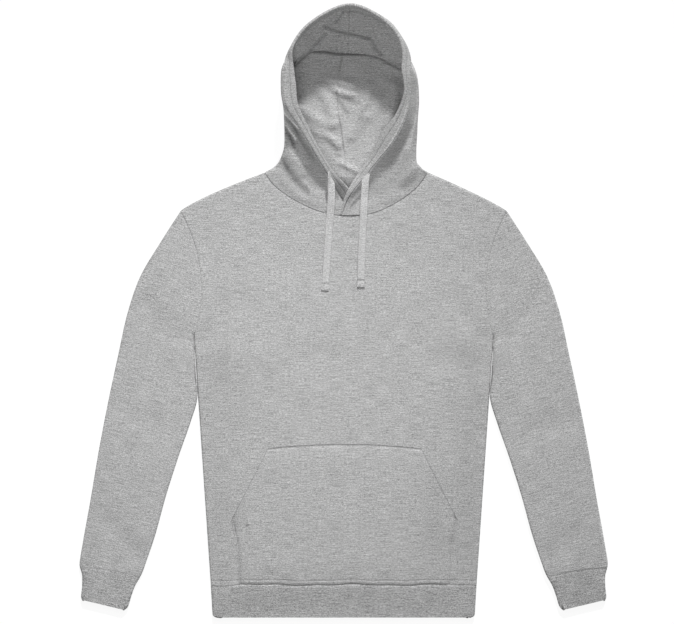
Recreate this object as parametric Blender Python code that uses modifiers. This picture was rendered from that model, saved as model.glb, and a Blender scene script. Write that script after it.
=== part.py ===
"""A pullover hoodie lying flat on its back, front up, with its hood open towards the viewer.

Lengths are in millimetres and turned into metres when a mesh is made. While it is drawn, x runs
across the garment from its centre line and y runs up it from the lower edge of the waistband.
An empty then moves the whole to its reference point, the middle of the footprint on the ground.
Every panel is drawn as the middle surface of its cloth and thickened by a Solidify modifier.
"""

import math
from typing import NamedTuple

import bmesh
import bpy
import numpy as np

MM = 0.001

# Driving sizes
LENGTH = 981.5  # lower edge of the waistband to the top of the hood
CLOTH = 2.6  # brushed fleece
RIB = 3.2  # doubled rib of the waistband and the cuffs
CASING = 5.0  # the hood's edge, rolled over its drawcord
CASING_END = 3.6  # the same where it is caught in the neck seam
CORD_WIDTH = 12.0
CORD_THICKNESS = 3.0
SEAM_GAP = 0.4
SIDE_GAP = 1.3  # between the rolled edges of front and back, measured at their middle surfaces
ARMPIT_GAP = 2.0  # by which the body's corner at the armpit stays short of the sleeve's fold
NECK_GAP = 1.1  # between hood and body, whose rolled edges slant differently at the neck's ends
CASING_GAP = 0.8  # between the rounded casing and the panel that it closes
CASING_LIFT = 1.5  # of the casing's end above the neck seam, in plan
LAY_GAP = 0.6  # between a panel and what lies on it
STACK_HEIGHT = 8.8  # of the two layers that lie on each other
ROLL = 5.0  # how far in from a folded edge the cloth is level again
DEEPEST_FOLD = 2.2
SEAM_ALLOWANCE = 2.0  # the hood leaves the neck seam level for this far

# Plan of the body
WAIST_SEAM_Y = 54.0
HEM_HALF_WIDTH = 212.5
BAND_HALF_WIDTH = 209.5
BAND_CORNER = 6.0
ARMPIT = (239.5, 449.0)
SHOULDER = (261.0, 650.0)
FRONT_NECK = [(-131, 711), (-110, 690), (-70, 663), (-22, 649), (4, 645.5), (45, 651), (90, 667), (122, 692), (144, 713)]
BACK_NECK = [(-131, 711), (-66, 704.5), (4, 701), (78, 705), (144, 713)]

# Plan of the pocket
POCKET_TOP_Y = 270.5
POCKET_TOP_RISE = 7.0
POCKET_TOP_X = (-121.0, 124.0)
POCKET_CORNER_Y = 156.0
POCKET_CORNER_X = (-180.0, 182.0)
POCKET_FOOT_X = (-167.0, 171.0)
POCKET_LOFT = 1.4  # how far its middle stands off the front

# How finely each piece is divided
EDGE_ANGLES = (0, 18, 48, 90)  # round the roll of a folded edge
ARMPIT_SHARE = 0.64  # of a body panel's rows, those below the armpit
SIDE_ROWS = 8
NECK_SHARE = 0.28  # of a body panel's columns, those on each shoulder
SHOULDER_COLUMNS = (0, 0.0016, 0.006, 0.012, 0.06, 0.13, 0.205)
SLEEVE_SPANS = 5
BAND_SPANS = 14
CUFF_SPANS = 3
SLEEVE_PLACES = (0, 0.5, 1, 1.5, 2, 3, 3.5, 4, 4.5, 5, 6, 6.5, 7, 8, 8.6, 9)
CUFF_PLACES = (0, 0.5, 1, 2, 3, 3.6, 4)
HOOD_COLUMNS = (0, 0.5, 1, 1.33, 1.67, 2, 2.33, 2.67, 3, 3.5, 4, 4.5, 5, 5.5, 6, 6.33, 6.67, 7)
CASING_SIDES = 10
CORD_POINTS = 20


class Fold(NamedTuple):
    """A soft trough along a straight line."""

    x0: float
    y0: float
    x1: float
    y1: float
    depth: float
    width: float


FOLDS = [
    Fold(-228, 440, -165, 505, 1.7, 20),
    Fold(-222, 405, -160, 420, 1.2, 18),
    Fold(230, 442, 172, 512, 1.6, 20),
    Fold(224, 402, 150, 412, 1.3, 18),
    Fold(-150, 640, -95, 560, 0.9, 24),
    Fold(160, 645, 112, 572, 1.0, 24),
    Fold(-195, 70, -188, 165, 1.3, 18),
    Fold(196, 68, 192, 150, 1.2, 18),
    Fold(-60, 420, 40, 405, 0.7, 26),
    Fold(-262, 455, -330, 500, 1.5, 20),
    Fold(262, 458, 322, 512, 1.5, 20),
    Fold(-285, 300, -365, 335, 1.3, 20),
    Fold(288, 290, 366, 318, 1.4, 20),
    Fold(-330, 100, -375, 150, 1.3, 17),
    Fold(332, 98, 380, 142, 1.2, 17),
]


class TubeRow(NamedTuple):
    """A section of a flattened tube: its outer and inner edge, and its bow towards the neck."""

    outer_x: float
    outer_y: float
    inner_x: float
    inner_y: float
    bow: float


SLEEVE = [
    TubeRow(SHOULDER[0], SHOULDER[1], ARMPIT[0], ARMPIT[1], 23),
    TubeRow(290.5, 604, 240.5, 420, 12),
    TubeRow(325.0, 546, 238.2, 388, 4),
    TubeRow(345.0, 489, 235.6, 351, 0),
    TubeRow(359.5, 425, 246.0, 310, 0),
    TubeRow(376.0, 348, 264.5, 257, 0),
    TubeRow(391.5, 268, 284.5, 194, 0),
    TubeRow(405.0, 188, 301.5, 132, 0),
    TubeRow(417.5, 119, 316.0, 89, 1),
    TubeRow(422.5, 84, 324.5, 66, 2),
]
CUFF = [
    TubeRow(422.5, 84, 324.5, 66, 2),
    TubeRow(418.5, 70, 333.5, 51, 1),
    TubeRow(418.5, 50, 339.5, 35, 0),
    TubeRow(420.0, 33, 345.5, 17, 0),
    TubeRow(418.0, 28, 351.0, 12, 0),
]


class HoodRow(NamedTuple):
    """A section of one half of the hood, from its edge round the outside to the centre seam."""

    rim: tuple  # free edge of the rolled casing
    band: tuple  # where the casing meets the panel
    first: tuple  # two points down the outside, or down to the crown's overhanging fold
    second: tuple
    edge: tuple  # the outermost point of the section, in plan
    height: float  # of the cloth just above that outermost point
    tuck: float  # how far inside it the cloth is at that height
    floor: tuple  # a point of the layer on the ground, in plan
    spine: tuple  # the centre seam, in plan


HOOD_TOP = HoodRow((7, 981.5, 84), (7, 964, 71), (7, 935, 55), (7, 904, 34), (5, 956), 13, 6, (4, 940), (4, 918))
HOOD_LEFT = [
    HoodRow((10, 684, 21), (-3, 674, 15), (-22, 670, 12), (-70, 686, 16), (-121, 718), 14, 8, (-70, 714), (4, 713)),
    HoodRow((-17, 714, 35), (-22, 706, 21), (-42, 703, 12), (-75, 711, 20), (-107, 727), 18, 8, (-70, 732), (2, 732)),
    HoodRow((-38, 746, 47), (-46, 743, 31), (-61, 739, 16), (-79, 740, 22), (-96, 750), 22, 6, (-70, 751), (0, 751)),
    HoodRow((-60, 785, 56), (-67, 779, 41), (-79, 777, 27), (-88, 775, 26), (-95, 777), 24, 5, (-73, 780), (-4, 779)),
    HoodRow((-73, 822, 63), (-91, 815, 50), (-94, 813, 41), (-96, 812, 36), (-97, 812), 32, 1, (-76, 812), (-9, 811)),
    HoodRow((-76, 850, 69), (-99, 850, 60), (-99, 849, 52), (-99, 848, 45), (-98, 847), 38, 0, (-76, 844), (-11, 840)),
    HoodRow((-80, 882, 74), (-96, 882, 61), (-95, 882, 54), (-95, 881, 46), (-94, 879), 36, 0, (-73, 870), (-9, 863)),
    HoodRow((-88, 905, 78), (-83, 900, 65), (-79, 896, 57), (-77, 894, 47), (-84, 898), 22, 4, (-65, 889), (-6, 881)),
    HoodRow((-77, 926, 81), (-68, 918, 68), (-60, 910, 56), (-55, 905, 42), (-71, 916), 16, 6, (-51, 902), (-3, 894)),
    HoodRow((-51, 954, 83), (-44, 942, 70), (-35, 924, 56), (-27, 908, 37), (-46, 940), 14, 6, (-35, 921), (-1, 906)),
]
HOOD_RIGHT = [
    HoodRow((7, 686, 31), (17, 680, 25), (36, 668, 15), (84, 684, 17), (134, 719), 14, 8, (84, 714), (4, 713)),
    HoodRow((24, 717, 42), (37, 703, 28), (49, 694, 15), (84, 703, 20), (120, 727), 18, 8, (84, 732), (2, 732)),
    HoodRow((40, 746, 51), (56, 733, 36), (69, 724, 18), (92, 727, 23), (115, 746), 22, 6, (84, 751), (0, 751)),
    HoodRow((60, 774, 58), (76, 761, 43), (89, 757, 27), (103, 758, 28), (116, 767), 25, 4, (87, 777), (-4, 779)),
    HoodRow((84, 807, 65), (97, 799, 50), (105, 798, 39), (112, 798, 35), (117, 799), 31, 1, (90, 809), (-9, 811)),
    HoodRow((96, 844, 70), (106, 842, 57), (110, 840, 48), (115, 839, 43), (118, 838), 38, 0, (93, 839), (-11, 840)),
    HoodRow((92, 876, 75), (107, 876, 62), (109, 873, 54), (112, 871, 47), (114, 870), 37, 0, (90, 863), (-9, 863)),
    HoodRow((103, 903, 79), (98, 895, 66), (94, 890, 58), (91, 886, 49), (100, 895), 24, 4, (82, 882), (-6, 881)),
    HoodRow((93, 927, 82), (87, 919, 69), (80, 905, 57), (74, 890, 43), (87, 914), 16, 6, (69, 900), (-3, 894)),
    HoodRow((68, 955, 84), (58, 945, 70), (53, 922, 56), (48, 900, 38), (59, 942), 14, 6, (50, 922), (-1, 906)),
]


class HoodFront(NamedTuple):
    """Where one half of the hood meets the neck seam, and how it laps over the other half."""

    side: int  # -1 for the half at -x, 1 for the other
    rim_x: float
    band_x: float
    first_x: float
    second_x: float
    neck: tuple  # the folded end of the shoulder seam
    back_x: float
    lift: float
    lift_none_x: float
    lift_full_x: float


FRONT_LEFT = HoodFront(-1, 21, 8.5, -22, -73, FRONT_NECK[0], -66, 0.0, 1, 0)
FRONT_RIGHT = HoodFront(1, -9, 2.0, 42, 90, FRONT_NECK[-1], 78, 6.0, 46, 24)
NAPE_X = 4.0

class CordKnot(NamedTuple):
    """A point of a free end of the drawcord, and the roll of its flat face in degrees."""

    x: float
    y: float
    z: float
    roll: float


CORD_LEFT = [
    CordKnot(-20.5, 698, 24.6, 25),
    CordKnot(-20.0, 690, 19.9, 14),
    CordKnot(-19.5, 678, 17.1, 8),
    CordKnot(-20.0, 664, 14.9, 3),
    CordKnot(-21.0, 652, 11.9, 0),
    CordKnot(-22.0, 640, 10.9, 0),
    CordKnot(-25.0, 600, 10.8, 0),
    CordKnot(-27.5, 560, 10.8, 0),
    CordKnot(-30.0, 521, 10.8, 0),
]
CORD_RIGHT = [
    CordKnot(36.0, 697, 29.6, -27),
    CordKnot(35.0, 692, 27.1, -25),
    CordKnot(34.0, 686, 25.1, -23),
    CordKnot(33.0, 680, 23.1, -20),
    CordKnot(32.5, 672, 20.9, -17),
    CordKnot(32.0, 660, 17.9, -15),
    CordKnot(32.0, 650, 15.0, -13),
    CordKnot(31.5, 643, 12.4, -5),
    CordKnot(31.0, 632, 10.9, 0),
    CordKnot(29.0, 590, 10.8, 0),
    CordKnot(28.0, 560, 10.8, 0),
    CordKnot(27.5, 526, 10.8, 0),
]


def spline(knots, places):
    """Points of a centripetal Catmull-Rom curve through the knots, at fractional knot numbers."""
    knots = np.asarray(knots, float)
    padded = np.concatenate([[2 * knots[0] - knots[1]], knots, [2 * knots[-1] - knots[-2]]])
    found = []
    for place in places:
        start = min(int(place), len(knots) - 2)
        p0, p1, p2, p3 = padded[start : start + 4]
        t1 = np.sqrt(max(np.linalg.norm(p1 - p0), 1e-3))
        t2 = t1 + np.sqrt(max(np.linalg.norm(p2 - p1), 1e-3))
        t3 = t2 + np.sqrt(max(np.linalg.norm(p3 - p2), 1e-3))
        t = t1 + (place - start) * (t2 - t1)
        a1 = ((t1 - t) * p0 + t * p1) / t1
        a2 = ((t2 - t) * p1 + (t - t1) * p2) / (t2 - t1)
        a3 = ((t3 - t) * p2 + (t - t2) * p3) / (t3 - t2)
        b1 = ((t2 - t) * a1 + t * a2) / t2
        b2 = ((t3 - t) * a2 + (t - t1) * a3) / (t3 - t1)
        found.append(((t2 - t) * b1 + (t - t1) * b2) / (t2 - t1))
    return np.array(found)


def dense(knots, steps=6):
    """The same curve as a fine polyline."""
    return spline(knots, np.linspace(0, len(knots) - 1, (len(knots) - 1) * steps + 1))


def curve_y(knots, x):
    """The height in plan of a curve that runs from left to right, at x."""
    line = dense(knots)
    return np.interp(x, line[:, 0], line[:, 1])


def distance_to(points, line):
    """Plan distance of each point from a polyline."""
    points = points[..., :2]
    nearest = np.full(points.shape[:-1], np.inf)
    line = np.asarray(line, float)
    for a, b in zip(line[:-1], line[1:]):
        along = np.clip(((points - a) @ (b - a)) / ((b - a) @ (b - a)), 0, 1)
        nearest = np.minimum(nearest, np.linalg.norm(points - (a + along[..., None] * (b - a)), axis=-1))
    return nearest


def folded_edges():
    """Every edge at which the front layer turns into the back one, as plan polylines."""
    found = []
    for side, neck in ((-1, FRONT_NECK[0]), (1, FRONT_NECK[-1])):
        waist = (side * HEM_HALF_WIDTH, WAIST_SEAM_Y)
        found.append([(side * BAND_HALF_WIDTH, 0), waist, (side * ARMPIT[0], ARMPIT[1])])
        found.append([(side * SHOULDER[0], SHOULDER[1]), neck])
        for table in (SLEEVE, CUFF):
            found.append(dense([(side * row.outer_x, row.outer_y) for row in table]))
            found.append(dense([(side * row.inner_x, row.inner_y) for row in table]))
    return found


FOLDED_EDGES = folded_edges()


def layer_height(plan, thickness, upper):
    """Height of a layer's middle surface, which rolls to mid height at the folded edges."""
    away = np.min([distance_to(plan, edge) for edge in FOLDED_EDGES], axis=0) - thickness / 2
    share = np.clip(away / ROLL, 0, 1)
    rise = (STACK_HEIGHT / 2 - SIDE_GAP / 2 - thickness / 2) * np.sqrt(1 - (1 - share) ** 2)
    if not upper:
        return STACK_HEIGHT / 2 - SIDE_GAP / 2 - rise
    sunk = np.zeros(plan.shape[:-1])
    for fold in FOLDS:
        beside = distance_to(plan, [(fold.x0, fold.y0), (fold.x1, fold.y1)])
        sunk += fold.depth * np.exp(-((beside / fold.width) ** 2))
    return STACK_HEIGHT / 2 + SIDE_GAP / 2 + rise - np.minimum(sunk, DEEPEST_FOLD) * share


def lifted(plan, thickness, upper):
    """The plan points with the height of their layer."""
    return np.concatenate([plan, layer_height(plan, thickness, upper)[..., None]], axis=-1)


# Blender objects


def clear_scene():
    for found in list(bpy.data.objects):
        bpy.data.objects.remove(found, do_unlink=True)


def make_material(name, colour, roughness):
    made = bpy.data.materials.new(name)
    made.use_nodes = True
    shader = made.node_tree.nodes["Principled BSDF"]
    shader.inputs["Base Color"].default_value = (*colour, 1)
    shader.inputs["Roughness"].default_value = roughness
    shader.inputs["Metallic"].default_value = 0.0
    return made


def finish_mesh(name, mesh):
    bmesh.ops.recalc_face_normals(mesh, faces=mesh.faces)
    data = bpy.data.meshes.new(name)
    mesh.to_mesh(data)
    mesh.free()
    data.shade_smooth()
    return data


def sheet_mesh(name, surface, tube):
    """A grid bent onto a surface, which is rows of points. A tube's rows close on themselves."""
    if tube:
        surface = np.concatenate([surface, surface[:, :1]], axis=1)
    rows, columns = surface.shape[0] - 1, surface.shape[1] - 1
    mesh = bmesh.new()
    bmesh.ops.create_grid(mesh, x_segments=columns, y_segments=rows, size=1)
    for vertex in mesh.verts:
        column = round((vertex.co.x + 1) / 2 * columns)
        row = round((vertex.co.y + 1) / 2 * rows)
        vertex.co = surface[row, column] * MM
    if tube:
        bmesh.ops.remove_doubles(mesh, verts=mesh.verts, dist=1e-6)
    return finish_mesh(name, mesh)


def loft_mesh(name, rings):
    """A closed solid through rings of points, with flat ends."""
    mesh = bmesh.new()
    loops = [[mesh.verts.new(point * MM) for point in ring] for ring in rings]
    for low, high in zip(loops[:-1], loops[1:]):
        for i in range(len(low)):
            mesh.faces.new((low[i - 1], low[i], high[i], high[i - 1]))
    mesh.faces.new(loops[0])
    mesh.faces.new(loops[-1])
    return finish_mesh(name, mesh)


def add_piece(name, data, material):
    made = bpy.data.objects.new(name, data)
    data.materials.append(material)
    PARTS.objects.link(made)
    made.parent = ROOT
    return made


def add_cloth(name, surface, thickness, material, tube=False):
    made = add_piece(name, sheet_mesh(name, surface, tube), material)
    wall = made.modifiers.new("wall", "SOLIDIFY")
    wall.thickness = thickness * MM
    wall.offset = 0
    return made


# Sleeves, cuffs and waistband


def tube_places(width, thickness, spans):
    """Distances from one fold of a flattened tube to the other, close together at both."""
    near = thickness / 2 + ROLL * (1 - np.cos(np.radians(EDGE_ANGLES)))
    level = np.linspace(near[-1], width - near[-1], spans + 1)
    return np.concatenate([near[:-1], level, width - near[-2::-1]])


def section(outer, inner, bow, places, pull):
    """Plan points of a bowed line from outer to inner, at distances from outer, pulled up by pull."""
    outer, inner = np.array(outer, float), np.array(inner, float)
    width = np.linalg.norm(inner - outer)
    across = (inner - outer) / width
    up = np.array([-across[1], across[0]])
    if up[1] < 0:
        up = -up
    share = np.asarray(places) / width
    return outer + share[:, None] * (inner - outer) + (bow * 4 * share * (1 - share) + pull)[:, None] * up


def tube_ring(outer, inner, bow, thickness, spans, pull):
    """A ring of a flattened tube, from its outer fold over the top to its inner fold and back."""
    places = tube_places(math.dist(outer, inner), thickness, spans)
    plan = section(outer, inner, bow, places, pull)
    over, under = lifted(plan, thickness, True), lifted(plan, thickness, False)
    over[[0, -1], 2] = STACK_HEIGHT / 2
    return np.concatenate([over, under[-2:0:-1]])


def tube_surface(side, table, places, thickness, spans):
    """A sleeve or a cuff, cut back at both ends by half a seam's gap."""
    rings = []
    for place, (outer_x, outer_y, inner_x, inner_y, bow) in zip(places, spline(table, places)):
        pull = SEAM_GAP / 2 * ((place == places[-1]) - float(place == places[0]))
        rings.append(tube_ring((side * outer_x, outer_y), (side * inner_x, inner_y), bow, thickness, spans, pull))
    return np.array(rings)


def add_sleeves():
    for name, side in (("left", -1), ("right", 1)):
        sleeve = tube_surface(side, SLEEVE, SLEEVE_PLACES, CLOTH, SLEEVE_SPANS)
        add_cloth("sleeve_" + name, sleeve, CLOTH, FLEECE, tube=True)
        cuff = tube_surface(side, CUFF, CUFF_PLACES, RIB, CUFF_SPANS)
        add_cloth("cuff_" + name, cuff, RIB, RIB_KNIT, tube=True)


def add_waistband():
    """One ring of rib, its lower corners rounded in plan."""
    rings = []
    corner = BAND_CORNER * (1 - np.cos(np.radians((0, 35, 65, 90))))
    for y in (*corner, 22.0, 42.0, WAIST_SEAM_Y - SEAM_GAP / 2):
        depth = max(BAND_CORNER - y, 0)
        half = BAND_HALF_WIDTH + (HEM_HALF_WIDTH - BAND_HALF_WIDTH) * y / WAIST_SEAM_Y
        half -= BAND_CORNER - math.sqrt(BAND_CORNER**2 - depth**2)
        drop = RIB / 2 * depth / BAND_CORNER
        rings.append(tube_ring((-half, y + drop), (half, y + drop), -drop, RIB, BAND_SPANS, 0))
    add_cloth("waistband", np.array(rings), RIB, RIB_KNIT, tube=True)


# Body panels


def panel_side(side):
    """The side seam and armhole of a body panel from the waist up, with their row numbers."""
    rows = np.concatenate([[0, 0.012], np.linspace(0.05, ARMPIT_SHARE, SIDE_ROWS)])
    waist = np.array([side * HEM_HALF_WIDTH, WAIST_SEAM_Y + SEAM_GAP / 2])
    armpit = np.array([side * ARMPIT[0], ARMPIT[1]])
    share = (rows / ARMPIT_SHARE)[:, None]
    seam = waist + share * (armpit - waist) - [side * CLOTH / 2, 0] - share**4 * [side * ARMPIT_GAP, 0]
    outer = (side * SHOULDER[0], SHOULDER[1])
    width = math.dist(outer, armpit)
    places = tube_places(width, CLOTH, SLEEVE_SPANS)[::-1]
    places = places[len(EDGE_ANGLES) - 1 :]
    armhole = section(outer, armpit, SLEEVE[0].bow, places, SEAM_GAP / 2)
    higher = ARMPIT_SHARE + (1 - ARMPIT_SHARE) * (width - places) / (width - places[-1])
    return np.concatenate([rows, higher]), np.concatenate([seam, armhole])


def panel_top(neckline, left_end, right_end):
    """The shoulders and neckline of a body panel, with their column numbers."""
    shoulders = np.array(SHOULDER_COLUMNS) / NECK_SHARE
    left = left_end + shoulders[:, None] * (np.array(FRONT_NECK[0]) - [0, CLOTH / 2] - left_end)
    right = right_end + shoulders[:, None] * (np.array(FRONT_NECK[-1]) - [0, CLOTH / 2] - right_end)
    neck = np.concatenate([[FRONT_NECK[0]], neckline, [FRONT_NECK[-1]]])
    steps = np.linalg.norm(np.diff(neck, axis=0), axis=1)
    along = np.concatenate([[0], np.cumsum(steps)]) / steps.sum()
    middle = NECK_SHARE + along * (1 - 2 * NECK_SHARE)
    neck = neck - [0, SEAM_GAP / 2]
    neck[[0, -1], 1] -= (CLOTH - SEAM_GAP) / 2
    columns = np.concatenate([SHOULDER_COLUMNS, middle, 1 - np.array(SHOULDER_COLUMNS)[::-1]])
    return columns, np.concatenate([left, neck, right[::-1]])


def body_panel(neckline, upper):
    """A patch between the waist seam, both sides with their armholes, and the top edge."""
    rows, left = panel_side(-1)
    _, right = panel_side(1)
    columns, top = panel_top(neckline, left[-1], right[-1])
    u, v = columns[None, :, None], rows[:, None, None]
    bottom = (1 - u) * left[0] + u * right[0]
    corners = (1 - v) * bottom + v * ((1 - u) * top[0] + u * top[-1])
    plan = (1 - v) * bottom + v * top[None] + (1 - u) * left[:, None] + u * right[:, None] - corners
    return lifted(plan, CLOTH, upper)


def neck_plan(front):
    """Plan points of the neck seam at the hood's columns, round one half of the neck."""
    turn = front.neck[0] - front.side * CLOTH / 2
    roll = [turn - front.side * ROLL * (1 - math.cos(math.radians(angle))) for angle in (90, 45)]
    knots = (0, 1, 2, 3, 3.5, 4, 4.5, 5, 6, 7)
    stations = (front.band_x, front.first_x, front.second_x, *roll, turn, *roll[::-1], front.back_x, NAPE_X)
    x = np.interp(HOOD_COLUMNS, knots, stations)
    y = np.where(np.array(HOOD_COLUMNS) <= TURN_COLUMN, curve_y(FRONT_NECK, x), curve_y(BACK_NECK, x))
    return np.column_stack([x, y])


TURN_COLUMN = 4  # of the hood's columns, the one at the fold of the neck


def add_body():
    left, right = neck_plan(FRONT_LEFT), neck_plan(FRONT_RIGHT)
    turn = HOOD_COLUMNS.index(TURN_COLUMN)
    front_right = [point for point in right[: turn + 1] if point[0] > left[0, 0] + 1]
    front_neck = np.concatenate([left[turn::-1], front_right])
    back_neck = np.concatenate([left[turn:], right[-2 : turn - 1 : -1]])
    add_cloth("front", body_panel(front_neck, True), CLOTH, FLEECE)
    add_cloth("back", body_panel(back_neck, False), CLOTH, FLEECE)


def add_pocket():
    """A patch on the front, with a slanted opening on either side."""
    foot_y = WAIST_SEAM_Y + SEAM_GAP / 2
    rows = np.array([0, 0.1, 0.25, 0.42, 0.6, 0.74, 0.88, 1])
    columns = np.linspace(0, 1, 13)
    corner = 0.42
    sides = []
    for foot_x, corner_x, top_x in zip(POCKET_FOOT_X, POCKET_CORNER_X, POCKET_TOP_X):
        x = np.interp(rows, [0, 0.25, corner, 1], [foot_x, foot_x + 0.3 * (corner_x - foot_x), corner_x, top_x])
        y = np.interp(rows, [0, corner, 1], [foot_y, POCKET_CORNER_Y, POCKET_TOP_Y])
        sides.append(np.column_stack([x, y]))
    u, v = columns[None, :], rows[:, None]
    plan = (1 - u)[..., None] * sides[0][:, None] + u[..., None] * sides[1][:, None]
    plan[..., 1] += POCKET_TOP_RISE * 4 * u * (1 - u) * v
    surface = lifted(plan, CLOTH, True)
    surface[..., 2] += CLOTH + LAY_GAP + POCKET_LOFT * np.sqrt(np.sin(np.pi * u) * np.sin(np.pi * v))
    add_cloth("pocket", surface, CLOTH, FLEECE)


# Hood


def neck_row(front):
    """The hood's points on the neck seam, this half lifted where it lies over the other."""
    plan = neck_plan(front)
    over, under = lifted(plan, CLOTH, True), lifted(plan, CLOTH, False)
    row = np.where(np.array(HOOD_COLUMNS)[:, None] < TURN_COLUMN, over, under)
    row[HOOD_COLUMNS.index(TURN_COLUMN), 2] = STACK_HEIGHT / 2
    row[:, 2] += lap_lift(front, row[:, 0]) * (np.array(HOOD_COLUMNS) < TURN_COLUMN)
    row[:, 1] += NECK_GAP - SEAM_GAP / 2
    return row


def lap_lift(front, x):
    share = np.clip((x - front.lift_none_x) / (front.lift_full_x - front.lift_none_x), 0, 1)
    return front.lift * share * share * (3 - 2 * share)


def hood_section(row):
    """One section of the hood's panel at the hood's columns, from the casing to the centre seam."""
    edge, floor, level = np.array(row.edge), np.array(row.floor), CLOTH / 2
    inward = (floor - edge) / np.linalg.norm(floor - edge)
    above = (*(edge + inward * row.tuck), row.height + level)
    below = (*(edge + inward * max(row.tuck, 0.3 * row.height)), level)
    turn = (*edge, row.height / 2 + level)
    knots = [row.band, row.first, row.second, above, turn, below, (*floor, level), (*row.spine, level)]
    points = spline(knots, HOOD_COLUMNS)
    points[:, 2] = np.maximum(points[:, 2], level)
    return points


def hood_surface(front, table, other):
    """The panel of one half. The other half's last section sets the slope at the centre seam."""
    start = neck_row(front)
    sections = [hood_section(row) for row in (*table, HOOD_TOP)]
    outward = sections[0][:, :2] - start[:, :2]
    outward /= np.linalg.norm(outward, axis=1)[:, None]
    seam = start.copy()
    seam[:, :2] += outward * SEAM_ALLOWANCE
    stack = np.array([start, seam, *sections, hood_section(other[-1])])
    last = len(sections) + 1
    places = np.concatenate([[0, 1], np.arange(1.5, last, 0.5), [last - 0.12, last]])
    surface = np.stack([spline(stack[:, column], places) for column in range(stack.shape[1])], axis=1)
    surface[-1, :, 0] += front.side * SEAM_GAP / 2
    surface[:, -1, 0] += front.side * SEAM_GAP / 2
    surface[..., 2] = np.maximum(surface[..., 2], CLOTH / 2)
    return surface


def casing_rings(front, table, other):
    """The rolled edge of one half, from the neck seam to the top: flat rings round a hollow cord."""
    y = curve_y(FRONT_NECK, np.array([front.rim_x, front.band_x])) + CASING_LIFT
    z = STACK_HEIGHT - CLOTH / 2 + front.lift
    rows = (*table, HOOD_TOP, other[-1])
    rim = [(front.rim_x, y[0], z), *(row.rim for row in rows)]
    band = [(front.band_x, y[1], z), *(row.band for row in rows)]
    last = len(table) + 1
    places = np.concatenate([[0, 0.25], np.arange(0.5, last, 0.5), [last - 0.12, last]])
    rim, band = spline(rim, places), spline(band, places)
    rim[-1, 0] += front.side * SEAM_GAP / 2
    band[-1, 0] += front.side * SEAM_GAP / 2
    across = band - rim
    band = band - across / np.linalg.norm(across, axis=1)[:, None] * CASING_GAP
    middle, reach = (rim + band) / 2, (band - rim) / 2
    along = np.gradient(middle, axis=0)
    thick = CASING_END + (CASING - CASING_END) * np.clip(places, 0, 1)
    rings = []
    for centre, half, tangent, thickness in zip(middle, reach, along, thick):
        normal = np.cross(tangent, half)
        normal *= thickness / 2 / np.linalg.norm(normal)
        angles = np.linspace(0, 2 * math.pi, CASING_SIDES, endpoint=False)
        rings.append([centre + half * math.cos(a) + normal * math.sin(a) for a in angles])
    return np.array(rings)


def add_hood():
    halves = (("left", FRONT_LEFT, HOOD_LEFT, HOOD_RIGHT), ("right", FRONT_RIGHT, HOOD_RIGHT, HOOD_LEFT))
    for name, front, table, other in halves:
        add_cloth("hood_" + name, hood_surface(front, table, other), CLOTH, FLEECE)
        add_piece("hood_hem_" + name, loft_mesh("hood_hem_" + name, casing_rings(front, table, other)), FLEECE)


# Drawcord


def add_cord(name, route):
    """A flat cord along a smooth curve through its route."""
    curve = bpy.data.curves.new(name, "CURVE")
    curve.dimensions = "3D"
    curve.twist_mode = "Z_UP"
    curve.fill_mode = "FULL"
    curve.extrude = (CORD_WIDTH - CORD_THICKNESS) / 2 * MM
    curve.bevel_depth = CORD_THICKNESS / 2 * MM
    curve.bevel_resolution = 2
    curve.use_fill_caps = True
    path = curve.splines.new("POLY")
    path.points.add(CORD_POINTS - 1)
    places = np.linspace(0, len(route) - 1, CORD_POINTS)
    for point, (x, y, z, roll) in zip(path.points, spline(route, places)):
        point.co = (x * MM, y * MM, z * MM, 1)
        point.tilt = math.pi / 2 + math.radians(roll)
    return add_piece(name, curve, CORD_BRAID)


clear_scene()
PARTS = bpy.data.collections.new("pullover_hoodie")
bpy.context.scene.collection.children.link(PARTS)
ROOT = bpy.data.objects.new("reference_point", None)
PARTS.objects.link(ROOT)
ROOT.location = (0, -LENGTH / 2 * MM, 0)
FLEECE = make_material("heather_fleece", (0.43, 0.43, 0.44), 0.95)
RIB_KNIT = make_material("heather_rib", (0.36, 0.36, 0.37), 0.95)
CORD_BRAID = make_material("drawcord", (0.52, 0.52, 0.53), 0.9)
add_body()
add_sleeves()
add_waistband()
add_pocket()
add_hood()
add_cord("cord_left", CORD_LEFT)
add_cord("cord_right", CORD_RIGHT)
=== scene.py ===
import math
from collections import namedtuple

import bmesh
import bpy
import numpy as np
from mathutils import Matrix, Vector, noise
from numpy.linalg import norm


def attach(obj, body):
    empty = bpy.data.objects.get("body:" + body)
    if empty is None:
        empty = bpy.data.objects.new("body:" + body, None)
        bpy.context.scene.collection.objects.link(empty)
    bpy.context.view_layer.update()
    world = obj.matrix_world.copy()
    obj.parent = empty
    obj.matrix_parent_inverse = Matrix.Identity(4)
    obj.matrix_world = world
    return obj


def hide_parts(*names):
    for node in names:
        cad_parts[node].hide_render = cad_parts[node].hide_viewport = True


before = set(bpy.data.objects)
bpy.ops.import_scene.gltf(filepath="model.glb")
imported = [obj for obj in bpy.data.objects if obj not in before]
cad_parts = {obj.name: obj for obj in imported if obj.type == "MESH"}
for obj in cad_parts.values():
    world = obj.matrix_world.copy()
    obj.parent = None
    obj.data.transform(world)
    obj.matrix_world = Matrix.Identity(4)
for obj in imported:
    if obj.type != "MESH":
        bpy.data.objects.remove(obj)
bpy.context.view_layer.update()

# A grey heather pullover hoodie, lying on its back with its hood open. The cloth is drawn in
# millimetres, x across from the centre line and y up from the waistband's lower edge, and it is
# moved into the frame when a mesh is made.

LENGTH = 981.5
CLOTH = 2.4
RIB = 3
CASING = 5.2
CASING_END = 2.6
CORD_WIDTH = 12
CORD_THICKNESS = 2.5
CORD_TIP = 12.5
# How much painted shade the drawcord gets beyond its sloping top, which is left lighter as painted light.
CORD_TOP_PAINTED_LIGHT = 0.25
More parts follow.
